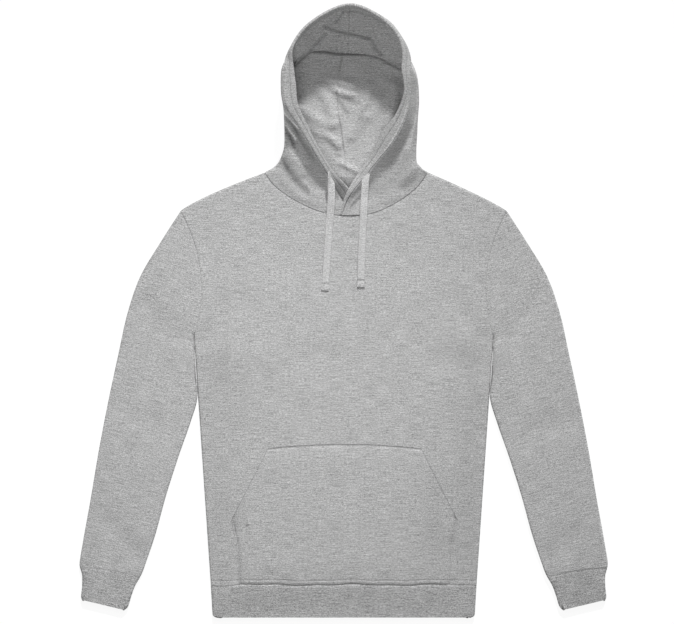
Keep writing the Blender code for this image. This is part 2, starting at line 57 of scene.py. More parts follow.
SEAM_GAP = 0.3
CLOSED_GAP = 0.06
STACK_HEIGHT = 8.8
MID_HEIGHT = STACK_HEIGHT / 2
ROLL = 1.5
DEEPEST_CREASE = 2.4

WAIST_SEAM_Y = 51.3
WAIST_STITCH_RISE = 8.3
HEM_HALF_WIDTH = 212.5
BAND_HALF_WIDTH = 209.5
BAND_CORNER = 6
ARMPIT = (239.5, 449)
SHOULDER = (261, 650)
SHOULDER_BOW = {-1: 4.8, 1: 3}
ARMHOLE_BOW = 21.5
FRONT_NECK = [
    (-126.5, 711.5), (-110, 690), (-70, 663), (-28, 646.5), (4, 643),
    (45, 646.3), (90, 667), (120, 691), (134.5, 712),
]
BACK_NECK = [(-126.5, 711.5), (-66, 704.5), (4, 703.5), (78, 705), (134.5, 712)]

POCKET_TOP_Y = 270.5
POCKET_TOP_RISE = 7
POCKET_TOP_X = (-121, 124)
POCKET_CORNER_Y = 156
POCKET_CORNER_X = (-180, 182)
POCKET_FOOT_X = (-167, 171)
POCKET_WIDTH = 330
POCKET_LENGTH = 216
TOPSTITCH = 2.6
OPENING_HEM = 24

# Where the armpit, the neck, the pocket's corner and the casing's stitches come, as shares of their piece,
# and the column of the hood's sections at which its wall turns under.
ARMPIT_SHARE = 0.64
NECK_SHARE = 0.28
POCKET_CORNER = 0.42
STITCH_SHARE = -0.12
TURN_COLUMN = 4

# A section of a flattened tube: its outer and inner edge, and its bow towards the neck.
TubeRow = namedtuple("TubeRow", "outer_x outer_y inner_x inner_y bow")


def tube_rows(*rows):
    return [TubeRow(*row) for row in rows]


SLEEVE = tube_rows(
    (*SHOULDER, *ARMPIT, ARMHOLE_BOW),
    (290.5, 604, 239.2, 420, 12), (325, 546, 236.8, 388, 4), (345, 489, 234.4, 351, 0),
    (359.5, 425, 246, 310, 0), (376, 348, 264.5, 257, 0), (391.5, 268, 284.5, 194, 0),
    (405, 188, 301.5, 132, 0), (417.5, 119, 316, 89, 1), (422.5, 86, 322.5, 71, 2),
    (421.5, 79, 326, 64, 3.5),
)
CUFF = tube_rows(
    (421.5, 79, 326, 64, 3.5), (418.5, 68, 333.5, 51, 2), (418.5, 50, 339.5, 35, 0),
    (420, 33, 345.5, 17, 0), (418, 28, 351, 12, 0),
)

# A section of one half of the hood, from its edge round the outside to the centre seam.
HoodRow = namedtuple("HoodRow", "rim band first second edge height tuck floor spine")


def hood_rows(*rows):
    """Sections from rows of numbers: x, y and z for the first four fields, x and y for the other points."""
    return [HoodRow(r[:3], r[3:6], r[6:9], r[9:12], r[12:14], r[14], r[15], r[16:18], r[18:]) for r in rows]


HOOD_TOP = hood_rows((10, 979, 84, 10, 974, 63, 8, 941, 46, 7, 904, 17, 5, 956, 11, 6, 4, 940, 4, 918))[0]
HOOD_LEFT = hood_rows(
    (17, 668, 10, 2, 660, 9.3, -14, 656, 8.9, -70, 673, 9.2, -116, 716.3, 9, 8, -70, 708.5, 4, 707.5),
    (9, 685, 14, -5, 672, 10.5, -14, 666, 9.6, -67, 685, 11, -110, 720, 11, 8, -70, 714, 4, 713),
    (-16, 713, 26, -25, 707, 26, -43, 700, 12.5, -70, 709, 16, -103, 728, 17, 8, -70, 732, 2, 732),
    (-37, 747, 36, -47, 743, 37, -60, 738, 20.5, -75, 741, 23, -94.5, 750, 24, 6, -70, 751, 0, 751),
    (-57.5, 786, 46, -69, 780, 49, -77, 778, 31, -86, 776, 30.5, -93.5, 777, 30, 5, -73, 780, -4, 779),
    (-73, 822, 58.5, -92.5, 819, 62, -93.5, 814, 51, -94.3, 812, 42, -94.3, 812, 36, 1, -76, 812, -9, 811),
    (-76, 850, 63, -98, 850, 66, -99, 849, 54, -99, 848, 45, -98, 847, 38, 0, -76, 844, -11, 840),
    (-80, 882, 68, -95, 882, 69.5, -96, 882, 58, -95, 881, 46, -94, 879, 36, 0, -73, 870, -9, 863),
    (-83, 905, 79, -87.5, 905, 59, -81.5, 898, 52, -76.5, 892, 41, -82.5, 898, 21, 4, -65, 889, -6, 881),
    (-76, 924, 81, -74, 921, 60, -64, 914, 48, -55, 905, 27, -70, 916, 14, 6, -51, 902, -3, 894),
    (-52, 951, 83, -49, 947, 62, -38, 933, 45, -27, 908, 19, -46, 940, 12, 6, -35, 921, -1, 906),
)
HOOD_RIGHT = hood_rows(
    (0, 668, 13, 5, 665, 13.2, 17, 657, 9.2, 85, 674, 9.2, 125, 716.6, 9, 8, 83, 708.5, 4, 707.5),
    (8, 686, 17.5, 15.5, 682, 20, 25, 672, 10, 80, 682, 10.5, 122, 720, 11, 8, 84, 714, 4, 713),
    (24, 712, 20, 34.5, 704.5, 24, 45, 695, 13.5, 82, 702, 13, 116, 727, 13, 8, 84, 732, 2, 732),
    (43, 738, 25.5, 55.5, 731.5, 30, 68, 722, 18, 92, 728, 17, 115, 746, 15.5, 6, 84, 751, 0, 751),
    (60, 774, 38, 78, 759.5, 42, 89, 752, 24, 103, 757, 21.5, 116, 767, 19.5, 4, 87, 777, -4, 779),
    (84, 807, 52, 98, 799, 55.5, 107, 797, 40, 113, 798, 30, 117, 799, 27.5, 1, 90, 809, -9, 811),
    (96, 844, 67, 106, 842, 63, 110, 840, 48, 115, 839, 37, 118, 838, 33.5, 0, 93, 839, -11, 840),
    (92, 876, 74, 107, 876, 69, 110, 873, 55, 112, 871, 43.5, 114, 870, 35, 0, 90, 863, -9, 863),
    (94, 903, 79, 104.5, 902, 61, 99, 893, 53, 95, 885, 43, 104, 894, 23, 4, 82, 882, -6, 881),
    (88, 926, 82, 93, 925, 61, 82, 907, 46, 74, 890, 29, 87, 914, 14, 6, 69, 900, -3, 894),
    (66, 953, 84, 68, 954, 62, 55, 927, 45, 48, 900, 20, 59, 942, 12, 6, 50, 922, -1, 906),
)

# The front end of one half of the hood: where it meets the neck seam, how far it lifts where it laps over the
# other half and between which x, how much painted shade its casing gets at the neck where the lap's shadow
# falls, negative for painted light, and how bright the painted highlight along its crest is higher up.
HoodFront = namedtuple("HoodFront", "side rim_x band_x first_x second_x neck back_x lift lift_x shaded lit")
FRONT_LEFT = HoodFront(-1, 21, 8.5, -22, -73, FRONT_NECK[0], -66, 0, (1, 0), 0.42, 0)
FRONT_RIGHT = HoodFront(1, -6, -2.5, 27, 90, FRONT_NECK[-1], 78, 1.6, (36, 14), -0.07, 0.45)
NAPE_X = 4
SEAM_ALLOWANCE = 2
NECK_LIFT = 0.8
CROWN_Y = (880, 900)

# The drawcord's free ends: x, y, z and the roll of its flat face in degrees.
CORD_LEFT = [
    (-22.5, 713, 28, -70), (-22, 707, 27.2, -58), (-20.5, 698, 25, -25), (-20, 690, 22.6, -12),
    (-19.5, 678, 19.2, -4), (-20, 664, 15.3, 0), (-21, 652, 12.4, 0), (-22, 640, 10.9, 0),
    (-25, 600, 10.8, 0), (-27.5, 560, 10.8, 0), (-30, 522.3, 10.5, 0),
]
CORD_RIGHT = [
    (36.3, 711.5, 24, 2), (35.8, 708, 24.3, 1), (35.3, 703, 23.6, -2), (34.9, 698, 22.5, -6),
    (34.5, 692, 21, -12), (34, 686, 19.3, -15), (33.5, 680, 17.6, -14), (33, 672, 15.6, -12),
    (32.4, 660, 13.7, -10), (32, 650, 12.4, -7), (31.6, 641, 11.4, -3), (31, 630, 10.9, 0),
    (29, 590, 10.8, 0), (28, 560, 10.8, 0), (27.5, 527.5, 10.5, 0),
]

# Soft ridges: a line in plan, its height, negative in a trough, and its width.
BODY_CREASES = [
    ([(-228, 440), (-165, 505)], -1.7, 20), ([(-222, 405), (-160, 420)], -1.2, 18),
    ([(230, 442), (172, 512)], -1.6, 20), ([(224, 402), (150, 412)], -1.3, 18),
    ([(-150, 640), (-95, 560)], -0.9, 24), ([(160, 645), (112, 572)], -1, 24),
    ([(-195, 70), (-188, 165)], -1.3, 18), ([(196, 68), (192, 150)], -1.2, 18),
    ([(-60, 420), (40, 405)], -0.7, 26), ([(-262, 455), (-330, 500)], -1.5, 20),
    ([(262, 458), (322, 512)], -1.5, 20), ([(-285, 300), (-365, 335)], -1.3, 20),
    ([(288, 290), (366, 318)], -1.4, 20), ([(-330, 100), (-375, 150)], -1.3, 17),
    ([(332, 98), (380, 142)], -1.2, 17), ([(-225, 416), (-115, 418)], 1.8, 22),
    ([(-290, 452), (-262, 447), (-244, 445)], -1, 4), ([(-285, 440), (-246, 437)], -0.7, 3),
    ([(290, 450), (246, 447)], -0.8, 4), ([(-80, 500), (-30, 470)], 1.2, 40),
]
OUTSIDE_CREASES = [
    ([(-92, 786), (-85, 770), (-79, 754)], -4, 3), ([(-90, 794), (-82, 777), (-75, 761)], 2, 2.2),
    ([(-100, 730), (-94, 719), (-88, 709), (-80, 699), (-72, 689), (-61, 678)], -2.3, 8),
    ([(-62, 701), (-53, 693), (-46, 685)], -1.8, 5.5), ([(146, 718), (124, 702), (98, 684)], -2.6, 12),
    ([(28, 680), (14, 665), (4, 655)], 1.2, 3.5),
]
CROWN_CREASES = [
    ([(-31, 945), (-11, 937), (5, 933), (21, 930), (45, 922), (50, 911), (59, 900)], -6, 2.4),
    ([(-29, 932), (-41, 920), (-52, 907)], -5, 2.2), ([(-1, 968), (-11, 953)], -1.6, 2),
    ([(5, 931), (-6, 913)], -1.4, 2),
]
LIP = [
    (-78, 882), (-65, 895), (-52, 906), (-31, 905), (-14, 902),
    (10, 901), (34, 901), (57, 895), (71, 887), (90, 877),
]
FLOOR_CREASES = [
    ([(x, y + 5) for x, y in LIP], 8, 9), ([(-14, 845), (0, 838), (14, 836)], 4.5, 6),
    ([(-24, 862), (-6, 856), (12, 850)], 4, 7), ([(80, 850), (80, 815), (76, 785)], 9, 12),
    ([(-66, 812), (-44, 797), (-20, 785)], 2.7, 8), ([(-52, 782), (-28, 769), (-6, 759)], 2.2, 7),
    ([(52, 764), (38, 747), (22, 727)], -2, 4.5), ([(40, 850), (30, 810), (12, 770)], 4.5, 9),
    ([(-40, 850), (-22, 815), (-14, 790)], 4, 8), ([(-6, 728), (22, 713)], 3.2, 4.5),
    ([(-24, 770), (-8, 752)], 3, 4), ([(60, 830), (40, 800)], 3, 8),
]

# Painted shade of folds and creases: a line in plan, its share, negative where a painted highlight brightens
# the cloth instead, and its width.
FOLD_SHADES = [
    ([(-94, 784), (-88, 771), (-80, 758)], 0.5, 3.8), ([(-91, 787), (-83, 775), (-76, 764)], -0.9, 1.3),
    ([(-93, 801), (-82, 788), (-72, 774)], 0.3, 3), ([(-98, 811), (-86, 798), (-73, 784)], -0.9, 1.2),
    ([(-96, 751), (-82, 742), (-69, 730)], -0.25, 6),
    ([(-96, 731), (-85, 711), (-69, 691), (-57, 679)], 0.12, 7.5),
    ([(-99, 823), (-89, 812), (-80, 803)], 0.3, 1.4), ([(136, 715), (119, 703), (103, 690)], 0.27, 9.5),
    ([(113, 802), (109, 777), (102, 752)], -0.3, 4.5),
    ([(-86, 795), (-71, 771), (-51, 739), (-30, 711)], 0.14, 4),
    ([(-79, 781), (-64, 758), (-48, 736)], 0.14, 4.5), ([(-100, 738), (-95, 728), (-89, 719)], 0.35, 2.4),
]
# Painted shade on the floor inside the hood: the lip's shadow and the crumples' shadows, and painted light
# over the lit middle where the share is negative.
FLOOR_SHADES = [
    (LIP, 0.5, 2.2), (LIP[2:-3], 0.35, 2.6), ([(-11, 830), (-4, 822), (4, 809)], 0.32, 3.4),
    ([(8, 828), (24, 823)], 0.3, 3), ([(38, 818), (24, 797)], 0.24, 4),
    ([(-60, 793), (-38, 778), (-15, 758)], 0.16, 5), ([(-15, 748), (-6, 738)], 0.24, 3),
    ([(-10, 800), (4, 735)], -0.06, 55),
]
# Painted shade along the crown's seam, under the casing at the crown, and down the centre seam inside, with
# its share at heights along y.
CROWN_SEAM = [(0, 968), (-11, 952)]
CASING_SEAM = [(-1, 968.5), (22, 968), (45, 960), (66, 949)]
SPINE_Y = [744, 754, 796, 810, 860, 880, 895, 900]
SPINE_SHADE = [0, 0.3, 0.3, 0, 0, 0.2, 0.3, 0]

# Geometry helpers


def spline(knots, places):
    """Points of a centripetal Catmull-Rom curve through the knots, at fractional knot numbers."""
    knots, places = np.asarray(knots, float), np.asarray(places, float)
    padded = np.concatenate([[2 * knots[0] - knots[1]], knots, [2 * knots[-1] - knots[-2]]])
    start = np.minimum(places.astype(int), len(knots) - 2)
    p = [padded[start + k] for k in range(4)]
    gaps = [np.sqrt(np.maximum(norm(p[k + 1] - p[k], axis=1), 1e-3)) for k in range(3)]
    t0, t1, t2, t3 = 0 * gaps[0], gaps[0], gaps[0] + gaps[1], gaps[0] + gaps[1] + gaps[2]
    t = t1 + (places - start) * gaps[1]

    def between(a, b, low, high):
        return a + (b - a) * ((t - low) / (high - low))[:, None]

    a1, a2, a3 = between(p[0], p[1], t0, t1), between(p[1], p[2], t1, t2), between(p[2], p[3], t2, t3)
    return between(between(a1, a2, t0, t2), between(a2, a3, t1, t3), t1, t2)


def dense(knots, steps=6):
    return spline(knots, np.linspace(0, len(knots) - 1, (len(knots) - 1) * steps + 1))


def curve_y(knots, x):
    line = dense(knots, 12)
    return np.interp(x, line[:, 0], line[:, 1])


def distance_to(points, line):
    """Plan distance of each point from a polyline."""
    points = points[..., :2]
    nearest = np.full(points.shape[:-1], np.inf)
    line = np.asarray(line, float)
    for a, b in zip(line[:-1], line[1:]):
        along = np.clip(((points - a) @ (b - a)) / ((b - a) @ (b - a)), 0, 1)
        nearest = np.minimum(nearest, norm(points - (a + along[..., None] * (b - a)), axis=-1))
    return nearest


def ease(x, low, high):
    """A soft step from 0 at low to 1 at high."""
    share = np.clip((x - low) / (high - low), 0, 1)
    return share * share * (3 - 2 * share)


def bell(distance, width):
    """A soft bump: 1 on its line, and almost nothing at twice its width."""
    return np.exp(-((distance / width) ** 2))


def arch(share):
    """A bow that rises from 0 at one end to 1 in the middle and falls again."""
    return 4 * share * (1 - share)


def blend(first, second, share):
    return (1 - share) * first + share * second


def squared_off(wave, power):
    """A sine or cosine with broader crests, for a ring whose faces are flat."""
    return np.sign(wave) * np.abs(wave) ** power


def unit(vectors):
    return vectors / norm(vectors, axis=-1, keepdims=True)


def travelled(points):
    """Distance covered along a line, at each of its points."""
    return np.concatenate([[0], np.cumsum(norm(np.diff(points, axis=0), axis=1))])


def ridges(points, lines):
    """Height of soft ridges along lines, each with its height, negative in a trough, and its width."""
    return sum(height * bell(distance_to(points, line), width) for line, height, width in lines)


def graded(length, fine, coarse, low=True, high=True, level=0):
    """Shares from 0 to 1, spaced finely for a level stretch at the ends asked for, coarsely between."""
    steps, position, step = [], 0, fine
    while position < (length / 2 if low and high else length):
        steps.append(step)
        position += step
        step = min(step * 1.3, coarse) if position > level else fine
    if high:
        steps = (steps if low else []) + steps[::-1]
    found = np.concatenate([[0], np.cumsum(steps)])
    return found / found[-1]


def rough(points, scale, seed):
    """Smooth noise from -1 to 1 at plan points, with its own scale in mm along x and y."""
    flat = points.reshape(-1, points.shape[-1])
    found = [noise.noise(Vector((p[0] / scale[0], p[1] / scale[1], seed))) for p in flat]
    return np.array(found).reshape(points.shape[:-1])


def section(outer, inner, bow, places, pull):
    """Plan points of a bowed line from outer to inner, at distances from outer, pulled up by pull."""
    outer, inner = np.array(outer, float), np.array(inner, float)
    width = math.dist(outer, inner)
    across = (inner - outer) / width
    up = np.array([-across[1], across[0]])
    if up[1] < 0:
        up = -up
    share = np.asarray(places) / width
    return outer + share[:, None] * (inner - outer) + (bow * arch(share) + pull)[:, None] * up


def seam_line(row, side):
    outer, inner = (side * row.outer_x, row.outer_y), (side * row.inner_x, row.inner_y)
    return section(outer, inner, row.bow, np.linspace(0, math.dist(outer, inner), 25), 0)


# Height of the layers


def shoulder_line(side, tip, neck_end, share):
    """Points of a shoulder, which rises a little above a straight line, at shares of its length."""
    line = np.array(tip) + share[:, None] * (np.array(neck_end) - tip)
    line[:, 1] += SHOULDER_BOW[side] * arch(share**0.65)
    return line


def folded_edges():
    """Lines where the upper layer rolls into the lower one: six for each side."""
    found = []
    for side, neck in ((-1, FRONT_NECK[0]), (1, FRONT_NECK[-1])):
        waist = (side * HEM_HALF_WIDTH, WAIST_SEAM_Y)
        found.append([(side * BAND_HALF_WIDTH, 0), waist, (side * ARMPIT[0], ARMPIT[1])])
        found.append(shoulder_line(side, (side * SHOULDER[0], SHOULDER[1]), neck, np.linspace(0, 1, 15)))
        for table in (SLEEVE, CUFF):
            rows = np.array(table) * [side, 1, side, 1, 1]
            found += [dense(rows[:, :2]), dense(rows[:, 2:4])]
    return found


def waist_wave(x):
    """How far the waist seam wanders from its straight line."""
    return 0.9 * np.sin(x / 23 + 1) + 0.6 * np.sin(x / 9.5)


FOLDED_EDGES = folded_edges()
WAIST_X = np.linspace(-HEM_HALF_WIDTH, HEM_HALF_WIDTH, 90)
WAIST_LINE = np.column_stack([WAIST_X, WAIST_SEAM_Y + waist_wave(WAIST_X)])
WAIST_STITCHES = WAIST_LINE + [0, WAIST_STITCH_RISE]
# Painted shade along the neck seam, and painted shadow on the back panel where it lies inside the neck under
# the hood.
NECK_SHADE = (dense(FRONT_NECK), 0.5, 1.2)
UNDER_HOOD_SHADE = ([(-30, 688), (36, 688)], 0.55, 16)


def seam_lines():
    """Grooves that the seams press into the cloth, and lines and patches of painted shade on it, or of
    painted light where their share is negative.
    """
    grooves = [(dense(FRONT_NECK), -1, 1.1), (WAIST_LINE, -0.7, 1.1), (WAIST_STITCHES, -0.4, 1)]
    shades = [NECK_SHADE, (WAIST_LINE, 0.04, 1.2), (WAIST_STITCHES[9:-7], 0.2, 0.9)]
    # Painted shade over the lit rolls of the shoulder folds.
    shades += [(line, 0.4, 1.8) for line in FOLDED_EDGES[1::6]]
    # Broad patches of painted shade that even out how the light falls, and painted light at the left cuff
    # where the share is negative.
    shades += [
        ([(-384, 58), (-388, 30)], -0.07, 34), ([(380, 58), (386, 30)], 0.08, 34),
        ([(152, 110), (142, 220)], 0.06, 40), ([(-300, 500), (-290, 450)], 0.045, 45),
        ([(238, 642), (236, 612)], 0.035, 36), ([(-185, 398), (-165, 346)], 0.05, 38),
    ]
    for side in (-1, 1):
        armhole, wrist = seam_line(SLEEVE[0], side), seam_line(SLEEVE[-1], side)
        grooves += [(armhole, -0.5, 1.1), (wrist, -0.35, 1.5)]
        # Painted shade along the armhole and wrist seams.
        shades += [(armhole[:9], 0.2, 0.9), (armhole[8:], 0.12, 0.9), (wrist, 0.24 + 0.14 * side, 1.2)]
        # Painted shade in the armpit notch, painted light where the share is negative on the cuffs' rolled
        # edges and corners that face away from the key light, painted shade over the lit roll of the sleeve's
        # upper edge, and painted shade towards the body's sides.
        mirrored = [
            ([(240, 452), (240, 446)], 0.35, 2.2), ([(326, 64), (339.5, 35), (345.5, 17)], -0.25, 2),
            ([(346, 16), (349, 13)], -0.7, 2.5), ([(421, 74), (418.5, 50), (420, 33)], -0.2, 1.8),
            ([(419.5, 31), (418.5, 28)], -0.5, 2), ([SHOULDER, (290.5, 604), (325, 546)], 0.3, 1.8),
            ([(205, 60), (212, 430)], 0.07 + 0.02 * side, 36),
        ]
        shades += [(np.array(line) * [side, 1], share, width) for line, share, width in mirrored]
    return grooves, shades


GROOVES, SHADES = seam_lines()


def painted_light_and_shade(plan, lines):
    """How far painted shade darkens the cloth, up to 1, or painted light brightens it where negative."""
    left = np.ones(plan.shape[:-1])
    for line, depth, width in lines:
        left = left * (1 - depth * bell(distance_to(plan, line), width))
    return 1 - left


def relief(plan):
    """Everything that raises or lowers the upper layer: creases, gathers, seams and unevenness."""
    x, y = plan[..., 0], plan[..., 1]
    found = 0.6 * rough(plan, (80, 40), 1.5) + 0.2 * rough(plan, (26, 15), 7.5)
    found = found + ridges(plan, BODY_CREASES + GROOVES)
    above = y - WAIST_SEAM_Y
    gathers = np.sin(x / 2.6 + 1.5 * np.sin(x / 31)) * bell(above, 22)
    found = found + 0.35 * gathers * ease(np.abs(x), 60, 190) * (np.abs(x) < HEM_HALF_WIDTH + 0.5)
    pleats = np.sin(x / 3.1 + 1.2 * np.sin(y / 17))
    for side in (-1, 1):
        found = found + 0.28 * pleats * bell(distance_to(plan, seam_line(SLEEVE[-1], side)), 15)
    under_pocket = ease(-np.abs(x - 2), -178, -160) * (above < waist_wave(x) + 0.4)
    return found + 2.3 * under_pocket * ease(y, 4, WAIST_SEAM_Y)


def layer_height(plan, thickness, upper):
    """Height of a layer's middle surface, which rolls to mid height at the folded edges."""
    away = np.min([distance_to(plan, edge) for edge in FOLDED_EDGES], axis=0) - thickness / 2
    share = np.clip(away / ROLL, 0, 1)
    rise = (MID_HEIGHT - SEAM_GAP / 2 - thickness / 2) * np.sqrt(1 - (1 - share) ** 2)
    if not upper:
        return MID_HEIGHT - SEAM_GAP / 2 - rise
    return MID_HEIGHT + SEAM_GAP / 2 + rise + np.maximum(relief(plan), -DEEPEST_CREASE) * share


def raised(plan, height):
    return np.concatenate([plan, height[..., None]], axis=-1)


def lifted(plan, thickness, upper):
    return raised(plan, layer_height(plan, thickness, upper))


# Meshes and pieces


def new_object(name, data):
    made = bpy.data.objects.new(name, data)
    bpy.context.scene.collection.objects.link(made)
    return made


def placed(points):
    """Drawing millimetres to metres in the frame."""
    return (np.asarray(points, float) - [0, LENGTH / 2, 0]) * 0.001


def grid_mesh(name, surface, uv, shade, tube=False):
    """A quad mesh through rows of points, with its cloth coordinates in metres as its UV map."""
    rows, columns = surface.shape[:2]
    row, column = np.meshgrid(np.arange(rows - 1), np.arange(columns if tube else columns - 1), indexing="ij")
    corners = [(row, column), (row, column + 1), (row + 1, column + 1), (row + 1, column)]
    faces = np.stack([r * columns + c % columns for r, c in corners], axis=-1).reshape(-1, 4)
    data = bpy.data.meshes.new(name)
    data.from_pydata(placed(surface).reshape(-1, 3).tolist(), [], faces.tolist())
    loops = np.stack([uv[r, c] for r, c in corners], axis=-2).reshape(-1, 2)
    data.uv_layers.new(name="cloth").data.foreach_set("uv", (loops * 0.001).ravel())
    # Each point's painted shade, negative where it is painted light.
    data.attributes.new("painted_light_and_shade", "FLOAT", "POINT").data.foreach_set("value", shade.ravel())
    data.shade_smooth()
    data.update()
    return data


def loft_mesh(name, rings, uv, shade):
    """A closed solid through rings of points, with flat ends."""
    data = grid_mesh(name, rings, uv, shade, tube=True)
    mesh = bmesh.new()
    mesh.from_mesh(data)
    mesh.verts.ensure_lookup_table()
    count, sides = rings.shape[:2]
    for first in (0, (count - 1) * sides):
        mesh.faces.new([mesh.verts[first + i] for i in range(sides)])
    bmesh.ops.recalc_face_normals(mesh, faces=mesh.faces)
    mesh.to_mesh(data)
    mesh.free()
    return data


def add_piece(name, data, material, node=None):
    """A piece of the hoodie, which takes the place of its node if it has one."""
    made = new_object(name, data)
    data.materials.clear()
    data.materials.append(material)
    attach(made, "root")
    if node:
        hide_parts(node)
    return made


def add_cloth(name, data, material, node, thickness):
    """A panel or tube of cloth, whose mesh is its middle surface. It lies on the piece under it."""
    made = add_piece(name, data, material, node)
    wall = made.modifiers.new("wall", "SOLIDIFY")
    wall.thickness = thickness * 0.001
    wall.offset = 0


# Materials


def add_node(tree, kind, inputs=None, **settings):
    """The outputs of a node whose settings are made and whose inputs get a value or another's socket."""
    made = tree.nodes.new(kind)
    for name, value in settings.items():
        setattr(made, name, value)
    for name, value in (inputs or {}).items():
        if isinstance(value, bpy.types.NodeSocket):
            tree.links.new(value, made.inputs[name])
        else:
            made.inputs[name].default_value = value
    return made.outputs


def new_material(name, values):
    """A material and its shader, with values for the shader's inputs."""
    made = bpy.data.materials.new(name)
    made.use_nodes = True
    shader = made.node_tree.nodes["Principled BSDF"]
    for title, value in values.items():
        shader.inputs[title].default_value = value
    return made, shader


def cloth_noise(tree, cloth, size, detail, label):
    """Noise whose features measure size[0] by size[1] mm of cloth."""
    scale = (1000 / size[0], 1000 / size[1], 1)
    stretched = add_node(tree, "ShaderNodeMapping", {"Vector": cloth, "Scale": scale}, label=label)
    inputs = {"Vector": stretched["Vector"], "Scale": 1, "Detail": detail, "Roughness": 0.55}
    return add_node(tree, "ShaderNodeTexNoise", inputs)["Fac"]


def weighted_sum(tree, base, parts, clamped=False):
    """Base and each part's weight times its socket, less the mean of one half that noise has."""
    total = base - sum(weight for _, weight in parts) / 2
    for socket, weight in parts:
        inputs = {0: socket, 1: weight, 2: total}
        total = add_node(tree, "ShaderNodeMath", inputs, operation="MULTIPLY_ADD")[0]
    total.node.use_clamp = clamped
    return total


def heather_cloth(name, grey, streaks, knit):
    """Melange jersey: fibres of lighter and darker grey run along the courses of a fine knit."""
    soft = {"Roughness": 0.95, "Specular IOR Level": 0.12, "Sheen Weight": 0.05, "Sheen Roughness": 0.5}
    made, shader = new_material(name, soft)
    tree = made.node_tree
    cloth = add_node(tree, "ShaderNodeUVMap", uv_map="cloth")["UV"]
    fine = cloth_noise(tree, cloth, (4.5, 0.95), 2, "short streaks")
    long = cloth_noise(tree, cloth, (26, 1.1), 2, "long streaks")
    speck = cloth_noise(tree, cloth, (1.3, 1), 1, "specks")
    cloud = cloth_noise(tree, cloth, (60, 40), 2, "clouds")
    melange = [(fine, streaks), (long, 0.78 * streaks), (speck, 1.4 * streaks), (cloud, 0.03)]
    share = weighted_sum(tree, 0.5, melange, clamped=True)
    inputs = {"A": (*[0.45 * grey] * 3, 1), "B": (*[1.55 * grey] * 3, 1), "Factor": share}
    fibres = add_node(tree, "ShaderNodeMix", inputs, data_type="RGBA")
    # The painted shade kept on the mesh darkens the fibres' colour towards near black, and brightens it as
    # painted light where it is negative.
    seam = add_node(tree, "ShaderNodeAttribute", attribute_name="painted_light_and_shade")
    inputs = {"A": fibres["Result"], "B": (0.02, 0.02, 0.02, 1), "Factor": seam["Fac"]}
    shaded = add_node(tree, "ShaderNodeMix", inputs, data_type="RGBA", clamp_factor=False)
    inputs = {"Vector": cloth, "Scale": 314.16 / knit, "Distortion": 0.6}
    wale = add_node(tree, "ShaderNodeTexWave", inputs, bands_direction="X")
    loops = weighted_sum(tree, 0, [(speck, 1), (fine, 0.6), (wale["Fac"], 0.35)])
    bump = add_node(tree, "ShaderNodeBump", {"Strength": 0.55, "Distance": 0.0006, "Height": loops})
    tree.links.new(shaded["Result"], shader.inputs["Base Color"])
    tree.links.new(bump["Normal"], shader.inputs["Normal"])
    return made


# Camera, light and floor

CAMERA_HEIGHT = 20
VIEW_WIDTH = 1.0784
SENSOR_WIDTH = 36
camera_data = bpy.data.cameras.new("camera")
camera_data.lens = SENSOR_WIDTH * CAMERA_HEIGHT / VIEW_WIDTH
camera_data.clip_end = 60
camera = new_object("camera", camera_data)
camera.location = (-0.0107, -0.0020, CAMERA_HEIGHT)
bpy.context.scene.camera = camera
bpy.context.scene.view_settings.view_transform = "Standard"


def add_light(name, kind, strength, towards, place=(0, 0, 3), **spread):
    data = bpy.data.lights.new(name, kind)
    data.energy = strength
    for setting, value in spread.items():
        setattr(data, setting, value)
    made = new_object(name, data)
    made.location = place
    made.rotation_euler = Vector(towards).to_track_quat("-Z", "Y").to_euler()


def add_studio():
    """A low key light from above the hood, a soft fill over the body, and a pale floor."""
    world = bpy.data.worlds.new("studio")
    world.use_nodes = True
    background = world.node_tree.nodes["Background"].inputs
    background["Color"].default_value = (1, 1, 1, 1)
    background["Strength"].default_value = 0.12
    bpy.context.scene.world = world
    azimuth, elevation = math.radians(8), math.radians(32)
    towards = (-math.sin(azimuth), -math.cos(azimuth), -math.tan(elevation))
    add_light("key", "SUN", 3.16, towards, angle=math.radians(4.5))
    add_light("fill", "AREA", 2.62, (0, 0, -1), place=(-0.1, 0.05, 0.8), shape="DISK", size=0.5)
    data = bpy.data.meshes.new("floor")
    corners = [(6.0 * x, 6.0 * y, -0.0002) for x, y in ((-1, -1), (1, -1), (1, 1), (-1, 1))]
    data.from_pydata(corners, [], [(0, 1, 2, 3)])
    data.materials.append(PAPER)
    new_object("floor", data)


# Drawcord


